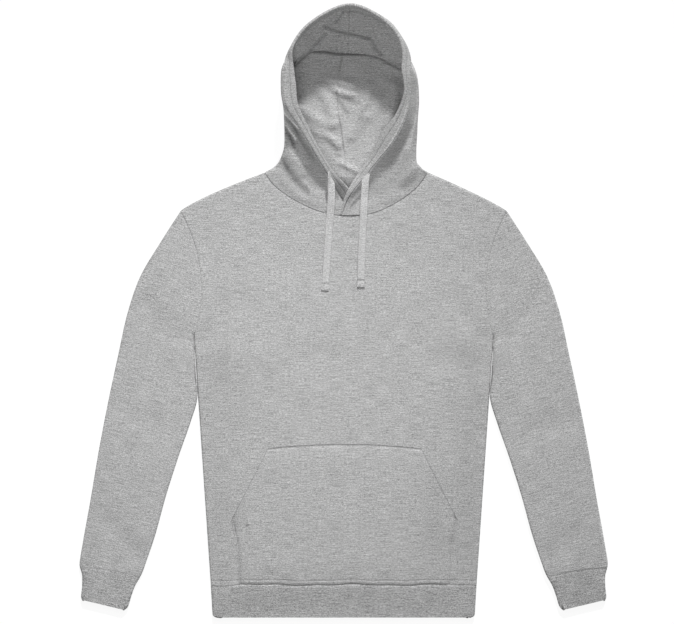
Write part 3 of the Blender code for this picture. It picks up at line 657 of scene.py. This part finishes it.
def add_cord(name, route, node):
    """A flat knitted cord with a sewn tip. Its rings follow the route and roll with it."""
    count, sides = 220, 20
    path = spline(route, np.linspace(0, len(route) - 1, count))
    centre, roll = path[:, :3], np.radians(path[:, 3:])
    along = unit(np.gradient(centre, axis=0))
    flat = -unit(np.cross(along, [0, 0, 1]))
    upright = np.cross(along, flat)
    upright *= np.sign(upright[:, 2:])
    turned = np.sin(roll) * np.sign(flat[:, :1])
    length = travelled(centre)
    left = length[-1] - length
    sewn = left - CORD_TIP
    waist = 1 - 0.05 * bell(sewn, 1.2) + 0.06 * bell(left, 9)
    thick = 1 - 0.4 * bell(sewn, 1) - 0.7 * bell(left, 2.6)
    # Darker along the tip's stitches, painted shade at the cut end, and painted shade on all but the sloping
    # top, which is left lighter as painted light.
    stitch_and_painted_shade = 0.4 * bell(sewn, 0.9) + 0.15 * bell(left, 0.9) + CORD_TOP_PAINTED_LIGHT * ease(length, 35, 85)
    across = (flat * np.cos(roll) + upright * turned) * (waist * CORD_WIDTH / 2)[:, None]
    normal = (upright * np.cos(roll) - flat * turned) * (thick * CORD_THICKNESS / 2)[:, None]
    angle = 2 * math.pi * np.arange(sides + 1) / sides
    s, h = squared_off(np.cos(angle), 0.55), squared_off(np.sin(angle), 0.75)
    rings = centre[:, None] + s[:-1, None] * across[:, None] + h[:-1, None] * normal[:, None]
    face_marks = s * CORD_WIDTH / 2 + np.where(h > 0, 0, 30)
    uv = np.stack(np.broadcast_arrays(face_marks, length[:, None]), axis=-1)
    shade = np.repeat(stitch_and_painted_shade[:, None], sides, axis=1)
    made = add_piece(name, loft_mesh(name, rings, uv, shade), CORD_KNIT, node)


# Sleeves, cuffs and waistband


def tube_places(width, thickness, spans):
    """Distances from one fold of a flattened tube to the other, close together at both."""
    near = thickness / 2 + ROLL * (1 - np.cos(np.radians((0, 12, 24, 38, 52, 66, 78, 90))))
    level = np.linspace(near[-1], width - near[-1], spans + 1)
    return np.concatenate([near[:-1], level, width - near[-2::-1]])


def tube_ring(outer, inner, bow, thickness, spans, pull):
    """A ring of a flattened tube, from its outer fold over the top to its inner fold and back."""
    places = tube_places(math.dist(outer, inner), thickness, spans)
    plan = section(outer, inner, bow, places, pull)
    return np.concatenate([plan, plan[-2:0:-1]])


def tube_heights(rings, thickness):
    """Rings of plan points to a tube: the first half of each ring is the upper layer."""
    half = rings.shape[1] // 2
    over = layer_height(rings[:, : half + 1], thickness, True)
    under = layer_height(rings[:, half + 1 :], thickness, False)
    over[:, [0, -1]] = MID_HEIGHT
    return raised(rings, np.concatenate([over, under], axis=1))


def tube_marks(rings):
    """Cloth coordinates round and along a tube, whose grain keeps to its own axis."""
    middle = (rings[:, 0] + rings[:, rings.shape[1] // 2]) / 2
    along, travel = travelled(middle), np.gradient(middle, axis=0)
    start = max(1, len(rings) // 5)
    travel[:start] = travel[start]
    travel = unit(travel)
    centre, base = middle.copy(), along.copy()
    centre[:start], base[:start] = middle[start], along[start]
    offset = rings - centre[:, None]
    across = np.stack([travel[:, 1], -travel[:, 0]], axis=1)
    u = np.einsum("rci,ri->rc", offset, across)
    v = base[:, None] + np.einsum("rci,ri->rc", offset, travel)
    marks = np.stack([u, v], axis=-1)
    return np.concatenate([marks, marks[:, :1]], axis=1)


def tube(side, table, thickness, spans, places):
    """Plan rings of a sleeve or cuff, kept half a seam away from its neighbours at both ends."""
    rings = []
    for place, (outer_x, outer_y, inner_x, inner_y, bow) in zip(places, spline(table, places)):
        outer, inner = (side * outer_x, outer_y), (side * inner_x, inner_y)
        pull = SEAM_GAP / 2 * ((place == places[-1]) - float(place == places[0]))
        rings.append(tube_ring(outer, inner, bow, thickness, spans, pull))
    return np.array(rings)


def add_tube(name, node, rings, thickness, material):
    half = rings.shape[1] // 2
    shade = painted_light_and_shade(rings, SHADES)
    shade[:, half + 1 :] = 0
    data = grid_mesh(name, tube_heights(rings, thickness), tube_marks(rings), shade, tube=True)
    add_cloth(name, data, material, node, thickness)


def add_sleeves():
    along = graded(560, 0.7, 5) * (len(SLEEVE) - 1)
    wrist = graded(56, 0.7, 2.2) * (len(CUFF) - 1)
    for word, side in (("left", -1), ("right", 1)):
        rings = tube(side, SLEEVE, CLOTH, 40, along)
        add_tube("sleeve_fleece_" + word, "sleeve_" + word, rings, CLOTH, FLEECE)
        rings = tube(side, CUFF, RIB, 34, wrist)
        add_tube("cuff_rib_" + word, "cuff_" + word, rings, RIB, RIB_KNIT)


def add_waistband():
    """One flattened ring of rib, with rounded lower corners."""
    rings = []
    corner = BAND_CORNER * (1 - np.cos(np.radians(np.linspace(0, 90, 9))))
    depth_above = WAIST_SEAM_Y - BAND_CORNER
    above = BAND_CORNER + depth_above * graded(depth_above, 0.6, 2.4, low=False)
    for y in (*corner, *above[1:]):
        depth = max(BAND_CORNER - y, 0)
        half = BAND_HALF_WIDTH + (HEM_HALF_WIDTH - BAND_HALF_WIDTH) * y / WAIST_SEAM_Y
        half -= BAND_CORNER - math.sqrt(BAND_CORNER**2 - depth**2)
        places = tube_places(2 * half, RIB, 110)
        drop = RIB / 2 * depth / BAND_CORNER * bell(np.minimum(places, 2 * half - places), 4)
        ring = tube_ring((-half, y), (half, y), 0, RIB, 110, drop)
        ring[:, 1] += waist_wave(ring[:, 0]) * (y / WAIST_SEAM_Y) ** 2 - SEAM_GAP / 2 * (y == WAIST_SEAM_Y)
        rings.append(ring)
    add_tube("waistband_rib", "waistband", np.array(rings), RIB, RIB_KNIT)


# Body panels and pocket


def panel_side(side, rows):
    waist = np.array([side * HEM_HALF_WIDTH, WAIST_SEAM_Y])
    armpit = np.array([side * ARMPIT[0], ARMPIT[1]])
    outer = (side * SHOULDER[0], SHOULDER[1])
    width = math.dist(outer, armpit)
    share = np.clip(rows / ARMPIT_SHARE, 0, 1)[:, None]
    seam = waist + share * (armpit - waist) - [side * CLOTH / 2, 0]
    higher = np.clip((rows - ARMPIT_SHARE) / (1 - ARMPIT_SHARE), 0, 1)
    places = width - CLOTH / 2 - higher * (width - CLOTH)
    armhole = section(outer, armpit, ARMHOLE_BOW, places, SEAM_GAP / 2)
    return np.where((rows <= ARMPIT_SHARE)[:, None], seam, armhole)


def panel_top(neck_knots, columns, left_end, right_end, gap):
    """The panel's upper edge: a shoulder, the neck and the other shoulder."""
    line = dense(neck_knots, 40)
    along = travelled(line)
    share = (columns - NECK_SHARE) / (1 - 2 * NECK_SHARE)
    found = np.column_stack([np.interp(share * along[-1], along, line[:, k]) for k in (0, 1)])
    rolled = np.clip(1 - np.minimum(share, 1 - share) * along[-1] / 6, 0, 1)
    found[:, 1] -= gap / 2 + (CLOTH - gap) / 2 * rolled
    shoulders = ((-1, columns, left_end, neck_knots[0]), (1, 1 - columns, right_end, neck_knots[-1]))
    for side, inward, end, neck_end in shoulders:
        neck_end = np.array(neck_end) - [0, CLOTH / 2]
        line = shoulder_line(side, end, neck_end, np.clip(inward / NECK_SHARE, 0, 1))
        found = np.where((inward < NECK_SHARE)[:, None], line, found)
    return found


def panel_grid(neck_knots, coarse, gap):
    low = graded(395, 0.7, coarse, high=False, level=10) * ARMPIT_SHARE
    high = ARMPIT_SHARE + graded(202, 0.7, coarse) * (1 - ARMPIT_SHARE)
    rows = np.concatenate([low, high[1:]])
    left_columns = graded(134, 0.7, coarse) * NECK_SHARE
    middle = NECK_SHARE + graded(330, 0.9, coarse) * (1 - 2 * NECK_SHARE)
    columns = np.concatenate([left_columns, middle[1:], 1 - left_columns[::-1][1:]])
    left, right = panel_side(-1, rows), panel_side(1, rows)
    top = panel_top(neck_knots, columns, left[-1], right[-1], gap)
    u, v = columns[None, :, None], rows[:, None, None]
    bottom = blend(left[0], right[0], u)
    corners = blend(bottom, blend(top[0], top[-1], u), v)
    plan = blend(bottom, top[None], v) + blend(left[:, None], right[:, None], u) - corners
    above = np.clip((plan[..., 1] - WAIST_SEAM_Y) / 40, 0, 1)
    plan[..., 1] += (waist_wave(plan[..., 0]) + SEAM_GAP / 2) * (1 - above) ** 2
    return plan


def add_panel(name, node, neck_knots, upper, coarse):
    plan = panel_grid(neck_knots, coarse, SEAM_GAP if upper else CLOSED_GAP)
    shade = painted_light_and_shade(plan, SHADES if upper else [UNDER_HOOD_SHADE])
    data = grid_mesh(name, lifted(plan, CLOTH, upper), plan, shade)
    add_cloth(name, data, FLEECE, node, CLOTH)


def pocket_sides(rows):
    """Both sides of the pocket, from its foot past the corner and along the slanted opening."""
    found = []
    for foot_x, corner_x, top_x in zip(POCKET_FOOT_X, POCKET_CORNER_X, POCKET_TOP_X):
        bulge = foot_x + 0.3 * (corner_x - foot_x)
        x = np.interp(rows, [0, 0.25, POCKET_CORNER, 1], [foot_x, bulge, corner_x, top_x])
        y = np.interp(rows, [0, POCKET_CORNER, 1], [WAIST_SEAM_Y + 1, POCKET_CORNER_Y, POCKET_TOP_Y])
        found.append(np.column_stack([x, y]))
    return found


def pocket_height(plan, u, v):
    """The pocket lies on the front: tight at its sewn edges, loose inside and at its openings."""
    from_side = np.minimum(u, 1 - u) * POCKET_WIDTH
    from_top, from_foot = (1 - v) * POCKET_LENGTH, v * POCKET_LENGTH
    loft = 1.2 * ease(from_side, 0, 45) * ease(from_top, 0, 35) * ease(from_foot, 0, 30)
    opening = ease(v, POCKET_CORNER, 0.6) * (1 - ease(v, 0.85, 1))
    loft += opening * bell(from_side, 16)
    sides = 1 - ease(v, POCKET_CORNER, POCKET_CORNER + 0.05)
    loft -= 2.3 * bell(from_side, 5) * sides + 1.2 * bell(from_foot, 1.8) + 0.9 * bell(from_top, 1.5)
    side_seam = ease(v, 0.1, 0.34) * (1 - ease(v, 0.38, 0.46))
    sewn = 1.1 * bell(from_top - TOPSTITCH, 1.1) + 0.8 * bell(from_side - TOPSTITCH, 1.1) * side_seam
    sewn += 0.5 * bell(from_side - OPENING_HEM, 1.3) * ease(v, 0.34, 0.4)
    return layer_height(plan, CLOTH, True) + CLOTH + 0.2 + loft - sewn


def pocket_shade(plan, u, v):
    """Painted shade: darker lines at the pocket's edges and along its topstitching, where their shadows fall,
    and dark marks at the bartacks.
    """
    from_side, from_top = np.minimum(u, 1 - u) * POCKET_WIDTH, (1 - v) * POCKET_LENGTH
    open_side = ease(v, POCKET_CORNER - 0.01, POCKET_CORNER + 0.01)
    tacks = [([(side * 156 + 2, 147), (side * 156 + 2, 149)], 0.5, 1.4) for side in (-1, 1)]
    side_edge = 0.08 * ease(v, 0.15, 0.32) + 0.42 * open_side
    left = 1 - painted_light_and_shade(plan, SHADES + tacks)
    left = left * (1 - 0.86 * bell(from_top, 1)) * (1 - 0.25 * bell(from_top - 2.8, 0.8))
    left = left * (1 - side_edge * bell(from_side, 1))
    return 1 - left * (1 - 0.1 * open_side * bell(from_side - OPENING_HEM, 1.2))


def pocket_points(u, v):
    """Points on top of the pocket, for a line of stitches."""
    sides = pocket_sides(v)
    plan = blend(*sides, u[:, None])
    plan[:, 1] += POCKET_TOP_RISE * arch(u) * v
    return np.column_stack([plan, pocket_height(plan, u, v) + CLOTH / 2])


def add_pocket():
    low = graded(100, 0.8, 4, level=8) * POCKET_CORNER
    high = POCKET_CORNER + graded(125, 0.6, 4) * (1 - POCKET_CORNER)
    rows = np.concatenate([low, high[1:]])
    sides = pocket_sides(rows)
    u, v = np.meshgrid(graded(330, 0.6, 4), rows)
    plan = blend(sides[0][:, None], sides[1][:, None], u[..., None])
    plan[..., 1] += POCKET_TOP_RISE * arch(u) * v + waist_wave(plan[..., 0]) * np.clip(1 - 5 * v, 0, 1)
    surface = raised(plan, pocket_height(plan, u, v))
    data = grid_mesh("pocket_fleece", surface, plan, pocket_shade(plan, u, v))
    add_cloth("pocket_fleece", data, FLEECE, "pocket", CLOTH)


# Hood


def neck_plan(front, columns):
    """Plan points on the neck seam: down its front, round the folded end and along its back."""
    turn = front.neck[0] - front.side * CLOTH / 2
    roll = [turn - front.side * ROLL * (1 - math.cos(math.radians(angle))) for angle in (90, 45)]
    knots = (0, 1, 2, 3, 3.5, 4, 4.5, 5, 6, 7)
    stations = (front.band_x, front.first_x, front.second_x, *roll, turn, *roll[::-1], front.back_x, NAPE_X)
    x = np.interp(columns, knots, stations)
    y = np.where(columns <= TURN_COLUMN, curve_y(FRONT_NECK, x), curve_y(BACK_NECK, x))
    return np.column_stack([x, y])


def neck_row(front, columns):
    """The hood's points on the neck seam, this half lifted where it lies over the other."""
    plan = neck_plan(front, columns)
    on_top = columns < TURN_COLUMN
    row = np.where(on_top[:, None], lifted(plan, CLOTH, True), lifted(plan, CLOTH, False))
    row[np.argmin(np.abs(columns - TURN_COLUMN)), 2] = MID_HEIGHT
    row[:, 2] += front.lift * ease(row[:, 0], *front.lift_x) * on_top
    row[:, 1] += np.where(on_top, SEAM_GAP, CLOSED_GAP / 2)
    row[:, 2] += NECK_LIFT * (columns < TURN_COLUMN - 0.6)
    return row


def hood_section(row, columns):
    """One section of the hood's panel, from the casing to the centre seam."""
    edge, floor, level = np.array(row.edge), np.array(row.floor), CLOTH / 2
    inward = (floor - edge) / norm(floor - edge)
    above = (*(edge + inward * row.tuck), row.height + level)
    below = (*(edge + inward * max(row.tuck, 0.3 * row.height)), level)
    turn = (*edge, row.height / 2 + level)
    knots = [row.band, row.first, row.second, above, turn, below, (*floor, level), (*row.spine, level)]
    return spline(knots, columns)


def hood_relief(points, columns):
    """Creases of the hood, each on its own stretch of columns."""
    found = 0.5 * rough(points, (24, 24), 3.5)
    crown = ease(points[..., 1], *CROWN_Y)
    stretches = [(OUTSIDE_CREASES, 0.3, 3.6, 1), (CROWN_CREASES, 0.2, 2.1, crown), (FLOOR_CREASES, 4.6, 9, 1)]
    for creases, low, high, share in stretches:
        share = share * ease(columns, low, low + 0.3) * (1 - ease(columns, high - 0.3, high))
        curved = [(dense(line), height, width) for line, height, width in creases]
        found = found + ridges(points, curved) * share
    return found


def hood_marks(surface, columns, places, side):
    """Cloth coordinates: plan x and y, but down the cloth on the hood's outer walls."""
    steps = norm(np.diff(surface, axis=1), axis=2)
    down = np.concatenate([np.zeros((len(surface), 1)), np.cumsum(steps, axis=1)], axis=1)
    plain = 1 - (1 - ease(columns, 3.2, 4.6))[None] * (1 - ease(places, 8, 9.5))[:, None]
    u = blend(surface[:, :1, 0] + side * down, surface[..., 0], plain)
    return np.stack([u, surface[..., 1]], axis=-1)


def hood_shade(surface, marks):
    """Painted shade of the hood's folds, creases and seams: on its floor, crown and outside, and at its
    spine.
    """
    inside = ease(marks, 4.6, 5)
    crown = ease(surface[..., 1], *CROWN_Y) * (1 - ease(marks, 2, 2.4))
    shade = painted_light_and_shade(surface, FLOOR_SHADES) * inside
    shade += painted_light_and_shade(surface, [(CROWN_SEAM, 0.4, 1.3), (CASING_SEAM, 0.26, 1.5)]) * crown
    shade += painted_light_and_shade(surface, [NECK_SHADE, *FOLD_SHADES]) * (marks < TURN_COLUMN)
    shade += painted_light_and_shade(surface, [(dense(line), 0.32, 2.2) for line, _, _ in CROWN_CREASES[:2]]) * crown
    spine = np.interp(surface[..., 1], SPINE_Y, SPINE_SHADE)
    return shade + spine * bell(surface[..., 0] - surface[:, -1:, 0], 1.6) * inside


def hood_surface(front, table, other, columns):
    """Points, cloth coordinates and painted shade of one half, from the neck seam over the crown."""
    start = neck_row(front, columns)
    sections = [hood_section(row, columns) for row in (*table, HOOD_TOP)]
    seam = start.copy()
    seam[:, :2] += SEAM_ALLOWANCE * unit(sections[0][:, :2] - start[:, :2])
    stack = np.array([start, seam, *sections, hood_section(other[-1], columns)])
    places = np.concatenate([[0, 0.3, 0.6, 1], 1 + graded(340, 0.9, 1.7)[1:] * len(sections)])
    surface = np.stack([spline(stack[:, column], places) for column in range(stack.shape[1])], axis=1)
    marks = np.repeat(columns[None], len(surface), axis=0)
    away_from_neck = ease(distance_to(surface, dense(FRONT_NECK)), 0, 14)
    normals = np.cross(np.gradient(surface, axis=1), np.gradient(surface, axis=0))
    normals /= np.maximum(norm(normals, axis=-1), 1e-9)[..., None]
    normals *= np.where(normals[..., 2:] < 0, -1, 1)
    bulk = hood_relief(surface, marks) * away_from_neck * ease(marks, 0, 0.3)
    surface = surface + normals * bulk[..., None]
    surface[-1, :, 0] += front.side * CLOSED_GAP / 2
    surface[:, -1, 0] += front.side * CLOSED_GAP / 2
    surface[..., 2] = np.maximum(surface[..., 2], CLOTH / 2)
    return surface, hood_marks(surface, columns, places, front.side), hood_shade(surface, marks)


def casing_rings(front, table, other):
    """The rolled edge of one half, with the furrow of the stitches that close the casing."""
    y = curve_y(FRONT_NECK, np.array([front.rim_x, front.band_x])) + 1.5
    z = STACK_HEIGHT - CLOTH / 2 + (front.lift or -1.2)
    rows = (*table, HOOD_TOP, other[-1])
    places = graded(380, 1, 2.4) * (len(table) + 1)
    rim = spline([(front.rim_x, y[0], z), *(row.rim for row in rows)], places)
    band = spline([(front.band_x, y[1], z), *(row.band for row in rows)], places)
    rim[-1, 0] += front.side * SEAM_GAP / 2
    band[-1, 0] += front.side * SEAM_GAP / 2
    band = band - 0.5 * unit(band - rim)
    middle, reach = (rim + band) / 2, (band - rim) / 2
    thick = CASING_END + (CASING - CASING_END) * np.clip(places / 2, 0, 1)
    normal = unit(np.cross(np.gradient(middle, axis=0), reach)) * thick[:, None] / 2
    normal *= np.sign(normal[0, 2])
    angles = np.linspace(0, 2 * math.pi, 44, endpoint=False)
    s = np.cos(angles)
    furrow = 1 - 0.25 * bell(s - STITCH_SHARE, 0.1)
    h = squared_off(np.sin(angles), 0.5) * (1.1 - 0.12 * s) * furrow
    rippled = normal * (1 + 0.12 * rough(middle[:, :2], (9, 9), 11.5))[:, None]
    rings = middle[:, None] + s[:, None] * reach[:, None] + h[:, None] * rippled[:, None]
    length = travelled(middle)
    round_edge = np.append(s, s[0]) * norm(reach, axis=1)[:, None]
    uv = np.stack(np.broadcast_arrays(round_edge, length[:, None]), axis=-1)
    seams = [middle + reach * STITCH_SHARE + normal * 0.82 * face for face in (1, -1)]
    # Painted shadow where the lap falls over the lower end of the casing, painted shade in the stitches'
    # furrow, and a painted highlight along the outer crest higher up.
    shade = front.shaded * (1 - ease(places, 2.3, 3.1))[:, None] * ease(s, -0.95, -0.8)
    painted_highlight_span = ease(places, 3.6, 4.4) * (1 - ease(places, 6.2, 7.2))
    shade = shade + 0.3 * bell(s - STITCH_SHARE, 0.07) - front.lit * painted_highlight_span[:, None] * bell(s - 0.86, 0.12)
    return rings, uv, seams, shade, length[-1]


def add_hood():
    """Both halves with their rolled edges. It returns the lines of the casing's stitches."""
    spans = [(0, 2, 66), (2, 3, 18), (3, 5, 24), (5, 6.96, 42), (6.96, 7, 2)]
    columns = np.unique(np.concatenate([np.linspace(low, high, count + 1) for low, high, count in spans]))
    stitches = []
    halves = (("left", FRONT_LEFT, HOOD_LEFT, HOOD_RIGHT), ("right", FRONT_RIGHT, HOOD_RIGHT, HOOD_LEFT))
    for word, front, table, other in halves:
        panel, edge = "hood_fleece_" + word, "hood_edge_" + word
        data = grid_mesh(panel, *hood_surface(front, table, other, columns))
        add_cloth(panel, data, FLEECE, "hood_" + word, CLOTH)
        rings, uv, seams, shade, length = casing_rings(front, table, other)
        made = add_piece(edge, loft_mesh(edge, rings, uv, shade), FLEECE, "hood_hem_" + word)
        stitches.extend(seam[4:-2] for seam in seams)
    return stitches


# Stitches

STITCH_PITCH = 0.0034
THREAD_WIDTH = 0.0007


def stitch_tree():
    """Lays one rounded stitch after another along every curve of the object."""
    tree = bpy.data.node_groups.new("stitch_row", "GeometryNodeTree")
    for way in ("INPUT", "OUTPUT"):
        tree.interface.new_socket("Geometry", in_out=way, socket_type="NodeSocketGeometry")
    for name in ("Pitch", "Stitch Length", "Thread Width"):
        tree.interface.new_socket(name, in_out="INPUT", socket_type="NodeSocketFloat")
    tree.interface.new_socket("Thread", in_out="INPUT", socket_type="NodeSocketMaterial")
    given = add_node(tree, "NodeGroupInput")
    inputs = {"Curve": given["Geometry"], "Length": given["Pitch"]}
    points = add_node(tree, "GeometryNodeCurveToPoints", inputs, mode="LENGTH")
    ball = add_node(tree, "GeometryNodeMeshUVSphere", {"Segments": 6, "Rings": 4, "Radius": 0.5})
    width = given["Thread Width"]
    size = add_node(tree, "ShaderNodeCombineXYZ", {"X": given["Stitch Length"], "Y": width, "Z": width})
    inputs = {"Vector": points["Tangent"]}
    turn = add_node(tree, "FunctionNodeAlignRotationToVector", inputs, axis="X")
    inputs = {"Points": points["Points"], "Instance": ball["Mesh"]}
    inputs |= {"Rotation": turn["Rotation"], "Scale": size["Vector"]}
    row = add_node(tree, "GeometryNodeInstanceOnPoints", inputs)
    whole = add_node(tree, "GeometryNodeRealizeInstances", {"Geometry": row["Instances"]})
    inputs = {"Geometry": whole["Geometry"], "Material": given["Thread"]}
    sewn = add_node(tree, "GeometryNodeSetMaterial", inputs)
    add_node(tree, "NodeGroupOutput", {"Geometry": sewn["Geometry"]})
    return tree


def add_stitches(name, lines):
    """Rows of stitches along lines of points, made into one plain mesh."""
    curve = bpy.data.curves.new(name, "CURVE")
    curve.dimensions = "3D"
    for line in lines:
        row = curve.splines.new("POLY")
        row.points.add(len(line) - 1)
        row.points.foreach_set("co", np.column_stack([placed(line), np.ones(len(line))]).ravel())
    guide = new_object(name + "_guide", curve)
    rows = guide.modifiers.new("stitches", "NODES")
    rows.node_group = STITCH_ROW
    values = {"Pitch": STITCH_PITCH, "Stitch Length": 0.76 * STITCH_PITCH}
    values |= {"Thread Width": THREAD_WIDTH, "Thread": THREAD}
    for item in STITCH_ROW.interface.items_tree:
        if item.name in values:
            rows[item.identifier] = values[item.name]
    evaluated = guide.evaluated_get(bpy.context.evaluated_depsgraph_get())
    data = bpy.data.meshes.new_from_object(evaluated)
    bpy.data.objects.remove(guide, do_unlink=True)
    data.name = name
    data.shade_smooth()
    add_piece(name, data, THREAD)


def add_all_stitches(hood_lines):
    add_stitches("stitches_hood", hood_lines)
    inside = np.abs(WAIST_LINE[:, 0]) < HEM_HALF_WIDTH - 3
    waist = lifted(WAIST_STITCHES[inside], CLOTH, True) + [0, 0, CLOTH / 2 + 0.05]
    add_stitches("stitches_waist", [waist])
    lines = [pocket_points(np.linspace(0.012, 0.988, 120), np.full(120, 1 - TOPSTITCH / POCKET_LENGTH))]
    rows = ((TOPSTITCH, np.linspace(0.02, POCKET_CORNER, 40)), (OPENING_HEM, np.linspace(0.4, 0.985, 60)))
    for side in (0, 1):
        for inset, v in rows:
            lines.append(pocket_points(np.full(len(v), abs(side - inset / POCKET_WIDTH)), v))
    add_stitches("stitches_pocket", lines)


STITCH_ROW = stitch_tree()
FLEECE = heather_cloth("heather_fleece", 0.476, 1.62, 1.1)
RIB_KNIT = heather_cloth("heather_rib", 0.424, 2.3, 1.4)
# The cord's grey is raised for the painted light on its sloping top; its painted shade brings the rest down.
CORD_KNIT = heather_cloth("drawcord_knit", 0.73, 1.3, 0.9)
DULL = {"Roughness": 0.8, "Specular IOR Level": 0.15}
THREAD = new_material("grey_thread", {**DULL, "Base Color": (0.2, 0.2, 0.2, 1)})[0]
PALE = {"Base Color": (0.12, 0.12, 0.12, 1), "Emission Color": (1, 1, 1, 1), "Emission Strength": 0.92}
PAPER = new_material("white_paper", {**DULL, **PALE, "Roughness": 0.9})[0]

add_cord("drawcord_left", CORD_LEFT, "cord_left")
add_cord("drawcord_right", CORD_RIGHT, "cord_right")
add_studio()
add_panel("front_fleece", "front", FRONT_NECK, True, 4)
add_panel("back_fleece", "back", BACK_NECK, False, 9)
add_sleeves()
add_waistband()
add_pocket()
add_all_stitches(add_hood())
